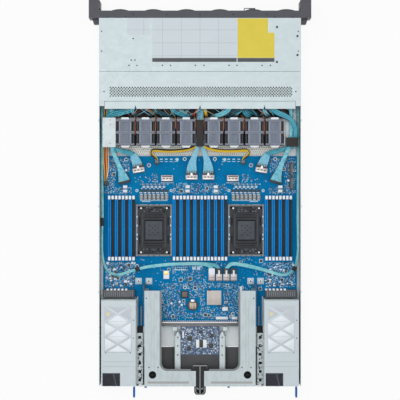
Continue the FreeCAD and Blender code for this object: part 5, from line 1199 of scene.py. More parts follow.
    def _connectors(self) -> None:
        """Supply docks, riser sockets and the long connector of the card."""
        shape = Shaper()
        z = self.top
        inner, outer, front, rear = self.dock
        for sign in SIDES:
            low, high = sorted((sign * inner, sign * outer))
            shape.box((low, front, z), (high, rear, 17), 0.4)
            shape.box((low, front, 19.4), (high, rear, 28.2), 0.4)
            shape.box((low, front, 16.9), (high, 211, 19.5))
            for i in range(6):
                x = sign * 177 - (16 if sign > 0 else 8) + i * 8.1
                shape.slab((x, 198.55), (2.3, 1.65), (z, 28.5), 0.3, 1)
            for i in range(14):
                x = low + 5.1 + i * 4.6
                shape.slab((x, 208.5), (1.1, 5.5), (28.1, 28.3), paint=2)
            shape.box((low + 2, 200.6, 28.1), (high - 2, 201.4, 28.35), paint=3)
            shape.box((sign * 117.8, 187, z), (sign * 124.8, 279, 17), 0.4)
        shape.box((-84, 269, z), (84, 279, 19.2), 0.5, 3)
        shape.box((-82, 270, 19.1), (82, 271.2, 19.35), paint=4)
        shape.box((-82, 275.4, 19.1), (82, 276.4, 19.35))
        for i in range(40):
            shape.slab((-79.2 + i * 4.1, 268.4), (0.8, 0.8), (z, 11), paint=4)
        shape.done("board_connectors", "parts_plastic", DOCK, WHITE, DOCK_RIB, BAR, STEEL,
                   stands_for=["board_components"])

    def _chips(self) -> None:
        """Finned heatsink with its push pins, the control chip, the coin cell and the posts of the risers."""
        shape = Shaper(self.top)
        low, high, y0, y1 = self.sink
        shape.box((low, y0, 0), (high, y1, 2.2), 0.2)
        for i in range(12):
            x = low + 0.3 + i * self.fin_pitch
            shape.box((x, y0, 2), (x + 1.5, y1, 8), 0.15)
        for at in ((low + 4, y1 + 1.5), (high - 5, y0 - 1.5)):
            shape.disc(at, (0, 7), 2.8, 2.2, 16, 0.3, 1)
        shape.slab((33.6, 210.1), (8, 8), (0, 2), 0.3, 5)
        shape.slab((33.6, 210.1), (5.6, 5.6), (1.9, 2.15), 0.1, 2)
        shape.disc(self.cell_place, (0, 4.6), 12.2, None, 36, 0.4, 1)
        shape.disc(self.cell_place, (4.4, 5.4), 9.6, None, 36, 0.3, 2)
        for i in range(5):
            shape.slab((10.35 + i * 2.8, 235), (0.55, 6), (5.3, 5.7), 0.1, 6 if i % 2 else 3)
        shape.box((12, 221.5, 0), (20, 226.5, 6.2), 0.4, 3)
        for x in (134.8, 112, -111, -132.8):
            shape.slab((x, 181.1), (7.2, 7.1), (0, 1.2), 0.2, 7)
            shape.disc((x, 181.1), (1, 5), 4, 3.6, 20, 0.3, 4)
            shape.disc((x, 181.1), (4.9, 5.1), 1.8, sides=16, paint=1)
        shape.done("board_chips", "parts_plastic", SINK, BLACK, BROWN_CHIP, STEEL, WHITE, COVER, GOLD,
                   POST_PLATE, stands_for=["board_components"])

    @staticmethod
    def _zones() -> tuple[list, list]:
        """Where small parts go and where none may stand.

        Returns:
            Zones as bounds in X and Y with a count of tries, and bounds that are kept free.
        """
        free = [(-35, 35, -60, -38), (-126, -116, 184, 280), (116, 126, 184, 280), (-61, 61, -8, 138),
                (-84, -15, 150, 184), (-50, -12, 197, 236), (24, 43, 200, 220), (2, 30, 219, 248),
                (-86, 86, 266, 280)]
        for x0, x1, y0, y1 in (
                (55, 90, -56, -34), (118, 152, -78, -50), (148, 184, -56, -26), (62, 140, -34, 128),
                (140, 204, -8, 138), (140, 214, 196, 220), (103, 143, 172, 190), (88, 102, -86, -72),
                (106, 118, -79, -67)):
            free += [(x0, x1, y0, y1), (-x1, -x0, y0, y1)]
        zones = [((-60, 60, -34, -8), 350), ((-62, 62, -88, -60), 8), ((-62, 62, 138, 200), 480),
                 ((62, 140, 130, 190), 40), ((-140, -62, 130, 200), 70), ((-86, 86, 186, 266), 1900)]
        for (x0, x1, y0, y1), count in (
                ((150, 210, -88, -8), 900), ((88, 106, -54, -34), 60), ((140, 208, 138, 196), 760),
                ((86, 116, 190, 276), 50), ((104, 150, -50, -34), 20)):
            zones += [((x0, x1, y0, y1), count), ((-x1, -x0, y0, y1), count)]
        return zones, free

    def _small_parts(self) -> None:
        """Capacitors, resistors, chips, headers and printed marks, thick in some places, thin in others."""
        chance = random.Random(self.seed)
        parts, prints = Shaper(self.top), Shaper(self.top)
        used: set[tuple[int, int]] = set()
        zones, free = self._zones()
        dock_y, dock_x = self.dock_line
        for (x0, x1, y0, y1), count in zones:
            zone_parts, zone_prints = Shaper(), Shaper()
            for _ in range(count):
                x, y = chance.uniform(x0, x1), chance.uniform(y0, y1)
                kind = chance.random()
                large = kind > self.large_kind
                spread = range(-1, 2) if large else range(1)
                cells = {(round(x / self.cell) + i, round(y / self.cell) + j) for i in spread for j in spread}
                reach = 4.6 if large else 1.8
                shut = any(a - reach < x < b + reach and c - reach < y < d + reach for a, b, c, d in free)
                if shut or cells & used or abs(x) > self.edge or (y > dock_y and abs(x) > dock_x):
                    continue
                used |= cells
                self._small_part(zone_parts, zone_prints, chance, (x, y), kind)
            parts.stamp(zone_parts.template(), [Matrix.Identity(4)])
            prints.stamp(zone_prints.template(), [Matrix.Identity(4)])
        self._marks(parts, prints)
        parts.done("board_small_parts", "parts_plastic", BLACK, CHIP_TAN, CHIP_GREY, WHITE, PALE_METAL, GOLD)
        prints.done("board_prints", "main_board", PRINT, HOLE)

    @staticmethod
    def _small_part(parts: Shaper, prints: Shaper, chance: random.Random, at: Place, kind: float) -> None:
        """One small part of a kind picked by chance.

        Args:
            parts: Where solid parts go.
            prints: Where flat marks go.
            chance: The seeded picker.
            at: X and Y of its middle.
            kind: From 0 to 1.
        """
        turned = chance.random() < 0.5

        def put(where: Shaper, length: float, width: float, height: float, paint: int) -> None:
            """A small block, along X or Y."""
            reach = (length / 2, width / 2) if turned else (width / 2, length / 2)
            where.slab(at, reach, (0, height), paint=paint)

        if kind < 0.30:
            put(prints, chance.uniform(1.6, 3.6), chance.uniform(0.5, 1.2), 0.04, 0)
        elif kind < 0.40:
            put(parts, 1.9, 1.1, 0.9, 1)
            put(parts, 2.3, 0.9, 0.7, 4)
        elif kind < 0.58:
            put(parts, 2.2, 1.5, 0.8, 0)
            put(parts, 2.9, 0.9, 0.5, 4)
        elif kind < 0.78:
            put(parts, 2.4, 1.6, 1, 2)
        elif kind < 0.85:
            put(parts, 2.6, 2, 1, 0)
            put(parts, 3.2, 1.5, 0.4, 4)
        elif kind < 0.93:
            prints.disc(at, (-0.1, 0.05), 1, sides=10)
            prints.disc(at, (0, 0.07), 0.5, sides=8, paint=1)
        elif kind < 0.972:
            side = chance.uniform(4, 6.6)
            put(parts, side, side, 1.2, 0)
            put(parts, side + 1.4, side - 1, 0.4, 4)
            put(prints, side + 2.4, side + 2.4, 0.03, 0)
        elif kind < 0.986:
            parts.disc(at, (0, 5.4), 2.8, sides=14, paint=2)
            parts.disc(at, (5.3, 5.5), 2.1, sides=14, paint=3)
        else:
            put(parts, 6.4, 4, 3.6, 3)
            put(parts, 5, 2.2, 3.7, 0)

    def _marks(self, parts: Shaper, prints: Shaper) -> None:
        """White blocks, plated screw holes and printed strokes at fixed places, and larger parts by chance.

        Args:
            parts: Where solid parts go.
            prints: Where flat marks go.
        """
        for x in (164, 27, -34.5, -176):
            for y in (-25.6, -16.4):
                parts.slab((x, y), (4.6, 3.2), (0, 5), 0.3, 3)
        for at in ((162.5, -85.6), (33.6, -86.6), (-32.6, -86.6), (-165, -86.6), (138, 148), (33, 195),
                   (-92, 196), (60, 258), (-72, 253), (-2, 146)):
            prints.disc(at, (-0.1, 0.06), 4.2, sides=24)
            prints.disc(at, (0, 0.09), 2.2, sides=16, paint=1)
        for at in ((50, -85.6), (-54.4, -85.6)):
            prints.disc(at, (-0.1, 0.07), 3.3)
        ink = (0, 0.05)
        for sign in SIDES:
            for i in range(-2, 3):
                prints.slab((sign * 74 + i * 11, -81.2), (3.6, 0.6), ink)
                prints.slab((sign * 74 + i * 11, -86.2), (2.8, 1.2), ink)
            for i in range(8):
                prints.slab((sign * 72 + (i - 3.5) * 3.6, -34.5), (1.2, 0.9), ink)
            prints.slab((sign * 118, 6.5), (9, 0.9), ink)
        for i in range(7):
            prints.slab((31.6 + i * 4.4, 150.7), (1.6, 0.7), ink)
            prints.slab((32.5 + i * 4, 155.9), (1.5, 1.5), ink)
        for x in (2.2, 12.8):
            prints.slab((x, 152.3), (4.2, 3.7), ink)
        chance = random.Random(self.block_seed)
        for sign in SIDES:
            for _ in range(self.block_count):
                at = (sign * chance.uniform(143, 206), chance.uniform(141, 193))
                reach = (chance.uniform(1, 3.4), chance.uniform(0.8, 2.6))
                parts.slab(at, reach, (0, chance.uniform(0.9, 1.3)), 0, chance.choice((0, 0, 3, 3, 3, 4)))
        parts.slab((73.75, 167), (6.25, 9), (0, 6), 0.4, 3)
        parts.slab((73.75, 163.5), (4.25, 3.5), (5.9, 6.3), 0.2, 5)
        for at, reach in (
                ((-48, 262), (13, 3)), ((-76, 262), (6, 3)), ((-90, 206), (2.5, 13)), ((-55, 242), (6, 4))):
            parts.slab(at, reach, (0, 5), 0.3, 3)


@dataclass
class MemoryBanks:
    """Sockets in turn blue and black, each with a narrow slot, and white latches."""

    pitch: float = 7.55
    widths: tuple = (5.3, 7.1)
    slot: float = 1.2
    centre_y: float = 64.5
    length: float = 125.0
    low: float = 8.2
    floor: float = 12.2
    high: float = 18.2
    key_shift: float = 3.0
    bank: int = 8
    side_start: float = 141.4

    def build(self) -> None:
        """Dress the latches and make both colours of socket."""
        dress(WHITE, "dimm_latches_front", "dimm_latches_rear")
        steps = [(i + 0.5) * self.pitch for i in range(self.bank)]
        places = sorted(
            sign * (start + step) for sign in SIDES for start in (0, self.side_start) for step in steps)
        for parity, name, finish in ((1, "blue", BLUE_SOCKET), (0, "black", BLACK_SOCKET)):
            sockets = Shaper()
            sockets.stamp(self._socket(self.widths[parity]), [shifted(x) for x in places[parity::2]])
            sockets.done(
                f"memory_sockets_{name}", "memory_socket", finish, BLACK, stands_for=["dimm_sockets"])

    def _socket(self, width: float) -> bpy.types.Mesh:
        """One socket at X 0.

        Args:
            width: Its width.

        Returns:
            The shape to stamp.
        """
        one = Shaper()
        start, end = self.centre_y - self.length / 2, self.centre_y + self.length / 2
        half, gap, low = width / 2, self.slot / 2, self.floor - 0.1
        one.box((-half, start, self.low), (half, end, self.floor), 0.2)
        for sign in SIDES:
            one.box((sign * half, start, low), (sign * gap, end, self.high), 0.3)
        for y in (start + 1.5, self.centre_y + self.key_shift, end - 1.5):
            one.slab((0, y), (gap + 0.1, 1.4), (low, self.high - 0.2), 0.1)
        one.box((-gap - 0.05, start + 3, low), (gap + 0.05, end - 3, self.floor + 0.5), paint=1)
        return one.template()


@dataclass
class ProcessorSockets:
    """Dark frames with bright edges and clips, and dark covers with raised fields."""

    x: float = 100.9
    y: float = 69.5
    half_x: float = 39.3
    half_y: float = 56.5
    rim: float = 4.2
    board_top: float = 8.2
    frame_top: float = 13.2
    post_top: float = 17.1
    cover_top: float = 16.2
    seed: int = 7

    def build(self) -> None:
        """Dress frames and covers and add their small parts."""
        dress(FRAME_STEEL, "cpu_frames")
        shape = Shaper()
        for side, sign in zip(("left", "right"), SIDES):
            dress(COVER, f"socket_cover_{side}")
            self._cover(side, sign)
            self._frame(shape, sign * self.x)
        shape.done("frame_edges", "socket_metal", EDGE, PALE_METAL, KNOB)

    def _frame(self, shape: Shaper, x: float) -> None:
        """Bright edges, clips and post caps of one frame.

        Args:
            shape: Where they go.
            x: Middle of the frame.
        """
        y, low, high, post = self.y, self.frame_top - 0.1, self.frame_top + 0.35, self.post_top
        shape.slab((x, y), (36, 53), (self.board_top, self.board_top + 0.3), paint=2)
        for edge in SIDES:
            rim_x = x + edge * (self.half_x - self.rim / 2)
            for start, end in ((-52, -31), (-26, -12), (-7.6, 8), (13, 17), (22.4, 52)):
                shape.box((x + edge * (self.half_x - 1.5), y + start, low),
                          (x + edge * self.half_x, y + end, high), 0.15)
            for clip in (-29.4, -10.2, 9.6, 19.2):
                shape.slab((rim_x, y + clip), (1.75, 2.25), (low, low + 1.4), 0.3, 1)
            for start, end in ((-33, -14), (-10, -3), (3, 10), (14, 33)):
                shape.box((x + start, y + edge * (self.half_y - 1.2), low),
                          (x + end, y + edge * self.half_y, high), 0.15)
            for end in SIDES:
                at = (rim_x, y + end * (self.half_y - self.rim / 2))
                shape.disc(at, (post, post + 0.3), 2.3, 1.9, 18)
                shape.disc(at, (post + 0.25, post + 0.35), 1, sides=12, paint=2)

    def _cover(self, side: str, sign: int) -> None:
        """Raised fields, grip lugs, ribs and corner screws of one cover.

        Args:
            side: "left" or "right".
            sign: -1 or 1.
        """
        x, y, line = sign * self.x, self.y, (-0.3, 0.06)
        chance = random.Random(self.seed + sign)
        shape = Shaper(self.cover_top)
        shape.slab((x, y), (18.6, 20.5), (-1.3, -0.5), 0.2, 1)
        shape.slab((x, y), (12.5, 13.5), (-0.6, -0.2), 0.2, 1)
        for i in range(4):
            for j in range(5):
                shape.slab(
                    (x - 9 + i * 6, y - 10 + j * 5), (1.6, 1.2), (-0.3, 0), 0.1, 0 if (i + j) % 2 else 1)
        for end in SIDES:
            for i in range(5):
                at = (x, y + end * (26 + i * 2.6))
                shape.slab(at, (24 - i * 1.5, 0.5), (-0.4, 0.2), 0.1, 3 if i % 2 else 0)
            lug = ((x - 7, y + end * 40), (x + 7, y + end * 40), (x, y + end * 46))
            shape.plate(lug, -2.2, 0.5, 0.3, 1)
            for i in range(8):
                for j in range(3):
                    at = (x - 21.6 + i * 6.2 + chance.uniform(-1.2, 1.2), y + end * (41.4 + j * 4))
                    size, paint = chance.uniform(0.6, 1.9), chance.choice((1, 3, 3, 4))
                    shape.slab(at, (size, 0.8), (-2.2, -chance.uniform(0.6, 1.6)), paint=paint)
            shape.slab((x, y + end * 21.6), (20.6, 0.8), line, paint=3)
            shape.slab((x + end * 19.9, y), (0.6, 22.4), line, paint=3)
            shape.slab((x + end * 25, y), (0.5, 37), line, paint=1)
            for edge in SIDES:
                at = (x + edge * 28.2, y + end * 48.3)
                shape.disc(at, (-3, -1.4), 3.6, 3.2, 20, 0.3, 3)
                shape.disc(at, (-1.5, -0.9), 2.3, 2, 18, 0.2, 2)
                shape.slab((x + edge * 31, y + end * 20), (1, 9), (-2.2, -1.5), 0.2, 3)
        shape.done(f"socket_cover_detail_{side}", "black_plastic", COVER, COVER_PALE, WHITE, KNOB, DOCK_RIB,
                   body=f"socket_cover_{side}")


@dataclass
class PowerSupply:
    """A supply with a pressed top, a dark fan corner, a wire guard, an inlet and gilt contacts."""

    side: str
    low: float
    top: float = 41.3
    rear: float = 407.5
    fan_x: float = 53.0
    fan_z: float = 21.3
    fan_size: float = 38.0
    lid_length: float = 28.5
    inlet_x: float = 21.0
    inlet_z: float = 20.3
    tongue_x: float = 37.5
    pad_x: float = 4.4
    panel: tuple = (10.5, 67.0)
    facet_starts: tuple = (234.6, 267.6, 300.6)
    facet_length: float = 32.0
    facet_bevel: float = 0.08
    band: float = 2.2

    def build(self) -> None:
        """Dress the supply and its lever and add their small parts."""
        dress(SUPPLY, f"psu_{self.side}")
        dress(BLUE_LEVER, f"psu_release_{self.side}")
        self._pad()
        self._top()
        self._fan_corner()
        self._ends()

    def _top(self) -> None:
        """Pressed facets of the top, with a plain round sticker, seams and screw holes."""
        shape = Shaper(self.top)
        low, gap, soft, facet, seam = self.low, self.band, self.facet_bevel, (0.3, 0.56), (-0.1, 0.06)
        x0, x1 = (low + x for x in self.panel)
        xm, end = (x0 + x1) / 2, self.facet_starts[-1] + self.facet_length
        shape.box((x0 - 1.5, self.facet_starts[0] - 1.5, -0.1), (x1 + 1.5, end + 1.5, 0.45), 0.15, 4)
        for n, y0 in enumerate(self.facet_starts):
            y1 = y0 + self.facet_length
            ym = (y0 + y1) / 2
            dull = 0 if n else 5
            shape.plate(((x0 + gap * 3, y0), (x1 - gap * 3, y0), (xm, ym - gap)), *facet, soft, dull)
            shape.plate(((x0 + gap * 3, y1), (x1 - gap * 3, y1), (xm, ym + gap)), *facet, soft)
            shape.plate(((x0, y0 + gap), (x0, y1 - gap), (xm - gap * 2, ym)), *facet, soft, dull)
            shape.plate(((x1, y0 + gap), (x1, y1 - gap), (xm + gap * 2, ym)), *facet, soft, dull)
        shape.disc((x1 - 7.5, 250.6), (facet[1], facet[1] + 0.1), 4.6, sides=28, paint=1)
        for y in (354.35, 364.35):
            shape.slab((low + 37.5, y), (33.5, 0.35), seam, paint=2)
        shape.slab((low + 37.5, 221.6), (36.5, 0.6), seam, paint=2)
        for x, y in ((65, 264), (65, 335), (11, 335), (5, 264), (5, 303)):
            shape.disc((low + x, y), (-0.1, 0.08), 1.2, sides=14, paint=3)
        shape.done(f"psu_top_{self.side}", "psu_metal", EMBOSS, STICKER, FAINT_LINE, HOLE, SUPPLY,
                   DULL_EMBOSS, body=f"psu_{self.side}")

    def _pad(self) -> None:
        """Ridged finger pad round the end of the release lever."""
        x = self.low + self.pad_x
        shape = Shaper()
        shape.box((x - 2, 411.5, 15), (x + 2, 433.8, 27.6), 0.6)
        for i in range(5):
            shape.slab((x, 415.7 + i * 3.4), (2.4, 0.7), (16.4, 26.2), 0.3)
        shape.done(f"release_pad_{self.side}", "release_blue", BLUE_LEVER, body=f"psu_release_{self.side}")

    def _fan_corner(self) -> None:
        """Dark lid over the fan and the rings of its guard."""
        x, rear = self.low + self.fan_x, self.rear
        left, right, front = x - self.fan_size / 2, x + self.fan_size / 2, rear - self.lid_length
        shape = Shaper()
        shape.box((left, front, 40.2), (right, rear - 0.4, 40.7), 0.15)
        stroke = ((x - 6, rear - 27), (x - 3, rear - 27), (x - 9, rear - 2), (x - 12, rear - 2))
        shape.plate(stroke, 40.6, 40.8, paint=2)
        shape.box((left, front, 40.6), (right, rear - 26.6, 40.9), 0.1, 2)
        shape.box((left, front, 40.6), (left + 1.6, rear - 0.4, 40.9), 0.1, 2)
        for radius in (5, 9.5, 14, 18):
            inner, outer = radius - 0.5, radius + 0.5
            ring = ((inner, -0.4), (outer, -0.4), (outer, 0.4), (inner, 0.4), (inner, -0.4))
            shape.lathe(ring, (x, rear + 0.4, self.fan_z), "Y", 40, 1)
        middle = Vector((x, rear + 0.5, self.fan_z))
        for angle in (45, 135, 225, 315):
            turn = math.radians(angle)
            reach = Vector((math.cos(turn), 0, math.sin(turn)))
            shape.rod(middle + reach * 4.5, middle + reach * 22, 0.6, sides=8, paint=1)
        shape.done(
            f"psu_fan_guard_{self.side}", "psu_metal", FAN_LID, STEEL, COVER_PALE, body=f"psu_{self.side}")

    def _ends(self) -> None:
        """Inlet with three pins at the rear, and contacts on the tongue at the front."""
        x, z, rear = self.low + self.inlet_x, self.inlet_z, self.rear
        shape = Shaper()
        shape.box((x - 12.3, rear - 15.9, z - 8.3), (x + 12.3, rear - 15.2, z + 8.3))
        for dx, dz in ((-6, -1.8), (6, -1.8), (0, 2.6)):
            shape.slab((x + dx, rear - 9.2), (1, 6.2), (z + dz - 2, z + dz + 2), 0.3, 1)
        middle = self.low + self.tongue_x
        shape.slab((middle, 215.5), (26, 3.9), (19, 19.05), paint=2)
        for i in range(-6, 7):
            shape.slab((middle + i * 4, 214), (1.2, 2.2), (18.95, 19.12), paint=3)
        shape.rod((self.low + 41, rear - 0.2, 33), (self.low + 41, rear + 0.4, 33), 1.3, 1, 16, paint=4)
        shape.done(f"psu_ends_{self.side}", "black_plastic", BLACK, STEEL, GREEN_BOARD, GOLD, LAMP,
                   body=f"psu_{self.side}")


@dataclass
class RiserCage:
    """Pale bracket with pressed lines, black screw knobs, riser boards, latch, and the card beneath."""

    top: float = 43.5
    knob_x: float = 103.0
    knob_y: float = 382.5
    card_half: float = 41.5
    card_top: float = 15.8
    card_seed: int = 23
    card_count: int = 620
    rail_x: float = 48.55
    rail_top: float = 19.2
    bay_seed: int = 41
    bay_count: int = 34

    def build(self) -> None:
        """Dress bracket and latch and add boards, knobs and the card's parts."""
        dress(RISER, "riser_bracket")
        dress(LATCH, "riser_latch")
        dress(CARD, "io_card")
        self._lines()
        self._latch()
        self._boards()
        self._card()
        self._bay()

    def _lines(self) -> None:
        """Pressed lines and the groove drawn as darker films, painted as the shade in their creases; small
        holes; and the knobs.
        """
        shape, film = Shaper(self.top), (-0.1, 0.05)
        knob = ((0, 0), (8.2, 0), (8.2, 0.34), (7.6, 0.38), (5.2, 0.38), (4.6, 0.34), (0, 0.34))
        for sign in SIDES:
            # Pressed lines painted darker as the shade in their creases.
            for x in (106, 100):
                shape.slab((sign * x, 291), (0.3, 75), film, paint=3)
            low, high = sorted((sign * 22.5, sign * 115))
            # Groove painted darker as its shade.
            shape.plate(((low, 399), (low + 2.2, 396.6), (high - 2.2, 396.6), (high, 399),
                         (high - 2.2, 401.4), (low + 2.2, 401.4)), *film)
            for x, y in ((116.4, 216.4), (110.6, 366.2), (91, 366.2)):
                shape.disc((sign * x, y), film, 1.5, sides=14, paint=1)
            at = (sign * self.knob_x, self.knob_y)
            shape.lathe(knob, (*at, -0.3), sides=40, paint=2)
            shape.slab(at, (3.4, 0.5), (0, 0.06), paint=1)
        shape.done("riser_details", "riser_metal", GROOVE, HOLE, KNOB, FAINT_LINE, body="riser")

    def _latch(self) -> None:
        """Bright edges along the grip, the middle of the stem and the rim of the pull, and painted shade in
        its hollow.
        """
        shape, film = Shaper(self.top), (-0.15, 0.03)
        shape.slab((0, 393.3), (0.7, 30.7), film)
        shape.slab((0, 362.6), (15, 0.7), film)
        rims = (((8.2, 409.6), (9.4, 409.6), (10.2, 419), (9, 419.4)),
                ((9, 419.2), (10.2, 418.8), (5, 425.2), (4.2, 424)),
                ((0, 424.4), (4.6, 424), (5, 425.2), (0, 425.5)),
                ((2, 413), (6.4, 410.4), (7, 411.6), (2.6, 414.4)))
        hollow_shade = ((1.6, 416), (5.6, 414.6), (7.4, 419), (4, 422.4), (1.6, 422.6))
        for sign in SIDES:
            for outline in rims:
                shape.plate([(sign * x, y) for x, y in outline], *film)
            shape.slab((sign * 15, 366.7), (0.3, 3.7), film, paint=1)
            # Black film in the pull's hollow, painted as its shade.
            shape.plate([(sign * x, y) for x, y in hollow_shade], *film, paint=2)
        shape.done("latch_edges", "black_plastic", EDGE, DOCK_RIB, KNOB, body="riser_latch")

    @staticmethod
    def _boards() -> None:
        """Blue riser boards under the arms, with rows of small parts."""
        shape = Shaper()
        for sign in SIDES:
            shape.box((sign * 120.42, 186.9, 17.1), (sign * 122.18, 279.1, 42.55))
            for i in range(12):
                y = 192 + i * 7
                shape.box((sign * 122.1, y, 34), (sign * 122.9, y + 3, 36), paint=1)
        shape.done("riser_boards", "riser_metal", BOARD, CHIP_TAN, body="riser")

    def _card(self) -> None:
        """Small parts on the card between the rails, and the dark lid over its ports."""
        chance = random.Random(self.card_seed)
        shape, half = Shaper(self.card_top), self.card_half
        for _ in range(self.card_count):
            at = (chance.uniform(1 - half, half - 1), chance.uniform(281, 340))
            reach = chance.choice(((0.9, 0.5), (0.5, 0.9), (1.2, 1.2), (0.5, 1.5), (1.6, 0.7)))
            paint = chance.choice((0, 1, 2, 2, 2, 3))
            shape.slab(at, reach, (0, chance.uniform(0.4, 1.4)), paint=paint)
        for at, reach in (((22, 306), (5, 5)), ((-24, 322), (5, 5)), ((24, 328), (4, 5)),
                          ((-26, 300), (4, 4)), ((-2, 292), (4, 3))):
            shape.slab(at, reach, (0, 1.6), 0.2)
        for at, reach in (((5.2, 317.2), (3.6, 8.6)), ((-10.6, 317.2), (3.9, 8.6)), ((36.9, 298), (1.8, 7))):
            shape.slab(at, reach, (0, 4.5), 0.3, 3)
        shape.box((-6.4, 309.4, 0), (1.4, 325, 3.4), 0.3)
        shape.box((-half, 342, 0), (half, 387.6, 0.8), 0.2, 4)
        shape.done("card_parts", "parts_plastic", BLACK, CHIP_TAN, CHIP_GREY, WHITE, DARK_PLATE)

    def _bay(self) -> None:
        """Dark plates on the floor of the bay, screws and clips on the rails, and tabs at the rear."""
        chance = random.Random(self.bay_seed)
        shape, top = Shaper(), self.rail_top
        for sign in SIDES:
            inner, outer = sign * 56, sign * 124
            # Dark plate over the rear of the bay floor.
            shape.box((inner, 326, 1), (outer, 405, 2.2), 0.2)
            # Pale floor, painted lit against the shade under the bracket.
            shape.box((inner, 281, 1), (outer, 326, 1.6), paint=6)
            shape.box((inner, 324.6, 2), (outer, 326.2, 2.6), 0.2, 2)
            low, high = sorted((sign * 125, sign * 137.6))
            shape.box((low, 226, 1), (high, 405, 1.6), paint=4)
            shape.box((sign * 135.4, 214, 8.2), (sign * 137, 278, 20), 0.2, 3)
            shape.box((sign * 127.4, 236, 8.2), (sign * 130.2, 278, 9.6), 0.2, 1)
            for _ in range(self.bay_count):
                at = (chance.uniform(low + 1.5, high - 1.5), chance.uniform(296, 403))
                reach = chance.choice(((0.8, 2.4), (1.6, 1), (2.2, 0.7), (1.2, 1.2)))
                shape.slab(at, reach, (22.6, chance.uniform(23.1, 24.2)), 0, chance.choice((4, 4, 7, 8)))
            x = sign * self.rail_x
            for y in (304, 322, 342):
                shape.disc((x, y), (top - 0.1, top + 0.3), 2.1, 1.8, 18, paint=1)
                shape.disc((x, y), (top + 0.2, top + 0.4), 1, sides=12, paint=4)
            clip = ((x - 8.6, 300), (x + 8.6, 300), (x + 1.4, 288.6), (x - 1.4, 288.6))
            shape.plate(clip, top + 0.05, top + 0.3, paint=7)
            tab = ((x - 5.4, 300.6), (x + 5.4, 300.6), (x + 1, 291.6), (x - 1, 291.6))
            shape.plate(tab, top + 0.1, top + 0.8, 0.15, 3)
            shape.box((sign * 50, 281.2, 17), (sign * 60, 290, 18), 0.2, 3)
        for x in (118.6, -62.4):
            shape.slab((x, 410.2), (2.6, 2.8), (21.6, 25), 0.4, 5)
        shape.done("bay_fittings", "black_plastic", DARK_PLATE, CHIP_TAN, STEEL, SHEET, HOLE, BLUE_LEVER,
                   LIT_BAY_FLOOR, DOCK_RIB, EDGE)


# Control points of the cables: X, Y, Z and half width.
INNER_RIBBON = (
    (18.3, -55, 15.6, 10.6), (18.2, -68, 16, 9.8), (15.5, -84, 17.5, 6), (9, -100, 22, 3.6),
    (3.9, -122, 25, 3), (3.8, -200, 25.4, 3), (5, -289, 25, 3))
FAR_FLARE = ((136, -70.8, 15.6, 10.4), (139, -82, 16, 9.2), (147, -96, 17.5, 6.2))
FAR_RIBBON = (
    (145.5, -94, 16.8, 6.2), (151, -99.5, 18, 5), (170, -103, 19, 4), (194, -112, 20, 3.2),
    (200, -140, 20, 3), (200, -210, 21, 3), (200, -289, 21, 3))
OUTER_RIBBON = (
    (166, -38.6, 17.9, 11.6), (168.4, -47.8, 18, 9), (172, -58, 17.6, 6.2), (178, -75, 19, 3.8),
    (192, -106, 28, 3.2))
WALL_LEFT = (
    (-214.6, -289, 14, 1.6), (-214.6, -80, 15, 1.6), (-213.4, 20, 16, 1.5), (-214, 90, 16, 1.3),
    (-214.4, 120, 15, 1.3), (-209, 150, 13.5, 1.9), (-196, 165, 13, 2.1), (-178, 168, 13, 2.3),
    (-140, 156, 14, 2.6), (-105, 147, 14.4, 3.4), (-78, 142, 14, 3), (-64, 143.6, 13.6, 3.4),
    (-57.8, 154, 13.6, 2.8))
WALL_RIGHT = (
    (214.6, -289, 14, 1.6), (214.6, -80, 15, 1.6), (213.2, 10, 16, 1.5), (212.8, 40, 16.5, 1.3),
    (214.2, 75, 16, 1.2), (214.4, 120, 15, 1.2), (209, 150, 13.5, 1.7), (196, 165, 13, 1.9),
    (177, 168, 13, 2.1), (136, 153.5, 14, 2), (100, 147, 14, 2.6), (45, 142.4, 14, 2.6), (-4, 143, 14, 2.6),
    (-22, 146.4, 13.6, 3.2), (-25.8, 154, 13.6, 2.8))
ACROSS = (
    (-42, 154, 13.6, 2.4), (-38, 147.6, 15.4, 2.6), (-22, 143.6, 16.2, 2.8), (12, 141.6, 16.4, 2.8),
    (52, 143, 15, 2.4))
FAN_LEAD = (
    (9, -114, 25, 1.4), (20, -106, 22, 1.8), (66, -102, 19, 1.8), (94, -105, 17, 1.8), (106, -104.6, 16, 1.8),
    (108, -97, 15.4, 1.8), (100, -92, 14.6, 1.8), (95, -88, 13.6, 1.8), (94.5, -82.6, 13, 1.8))
SUPPLY_ROUTE = ((206, -289, 13), (206, -118, 14), (207, -90, 16), (204.6, -62, 15), (205.6, -37.2, 12))
SUPPLY_WIRES = (
    (RED, (-3.6, 0.4, 2.0)), (ORANGE, (-2.4, 3.2)), (YELLOW, (-1.0, 4.4)), (DARK_WIRE, (1.2, -4.8)),
    (WHITE, (-5.6,)))
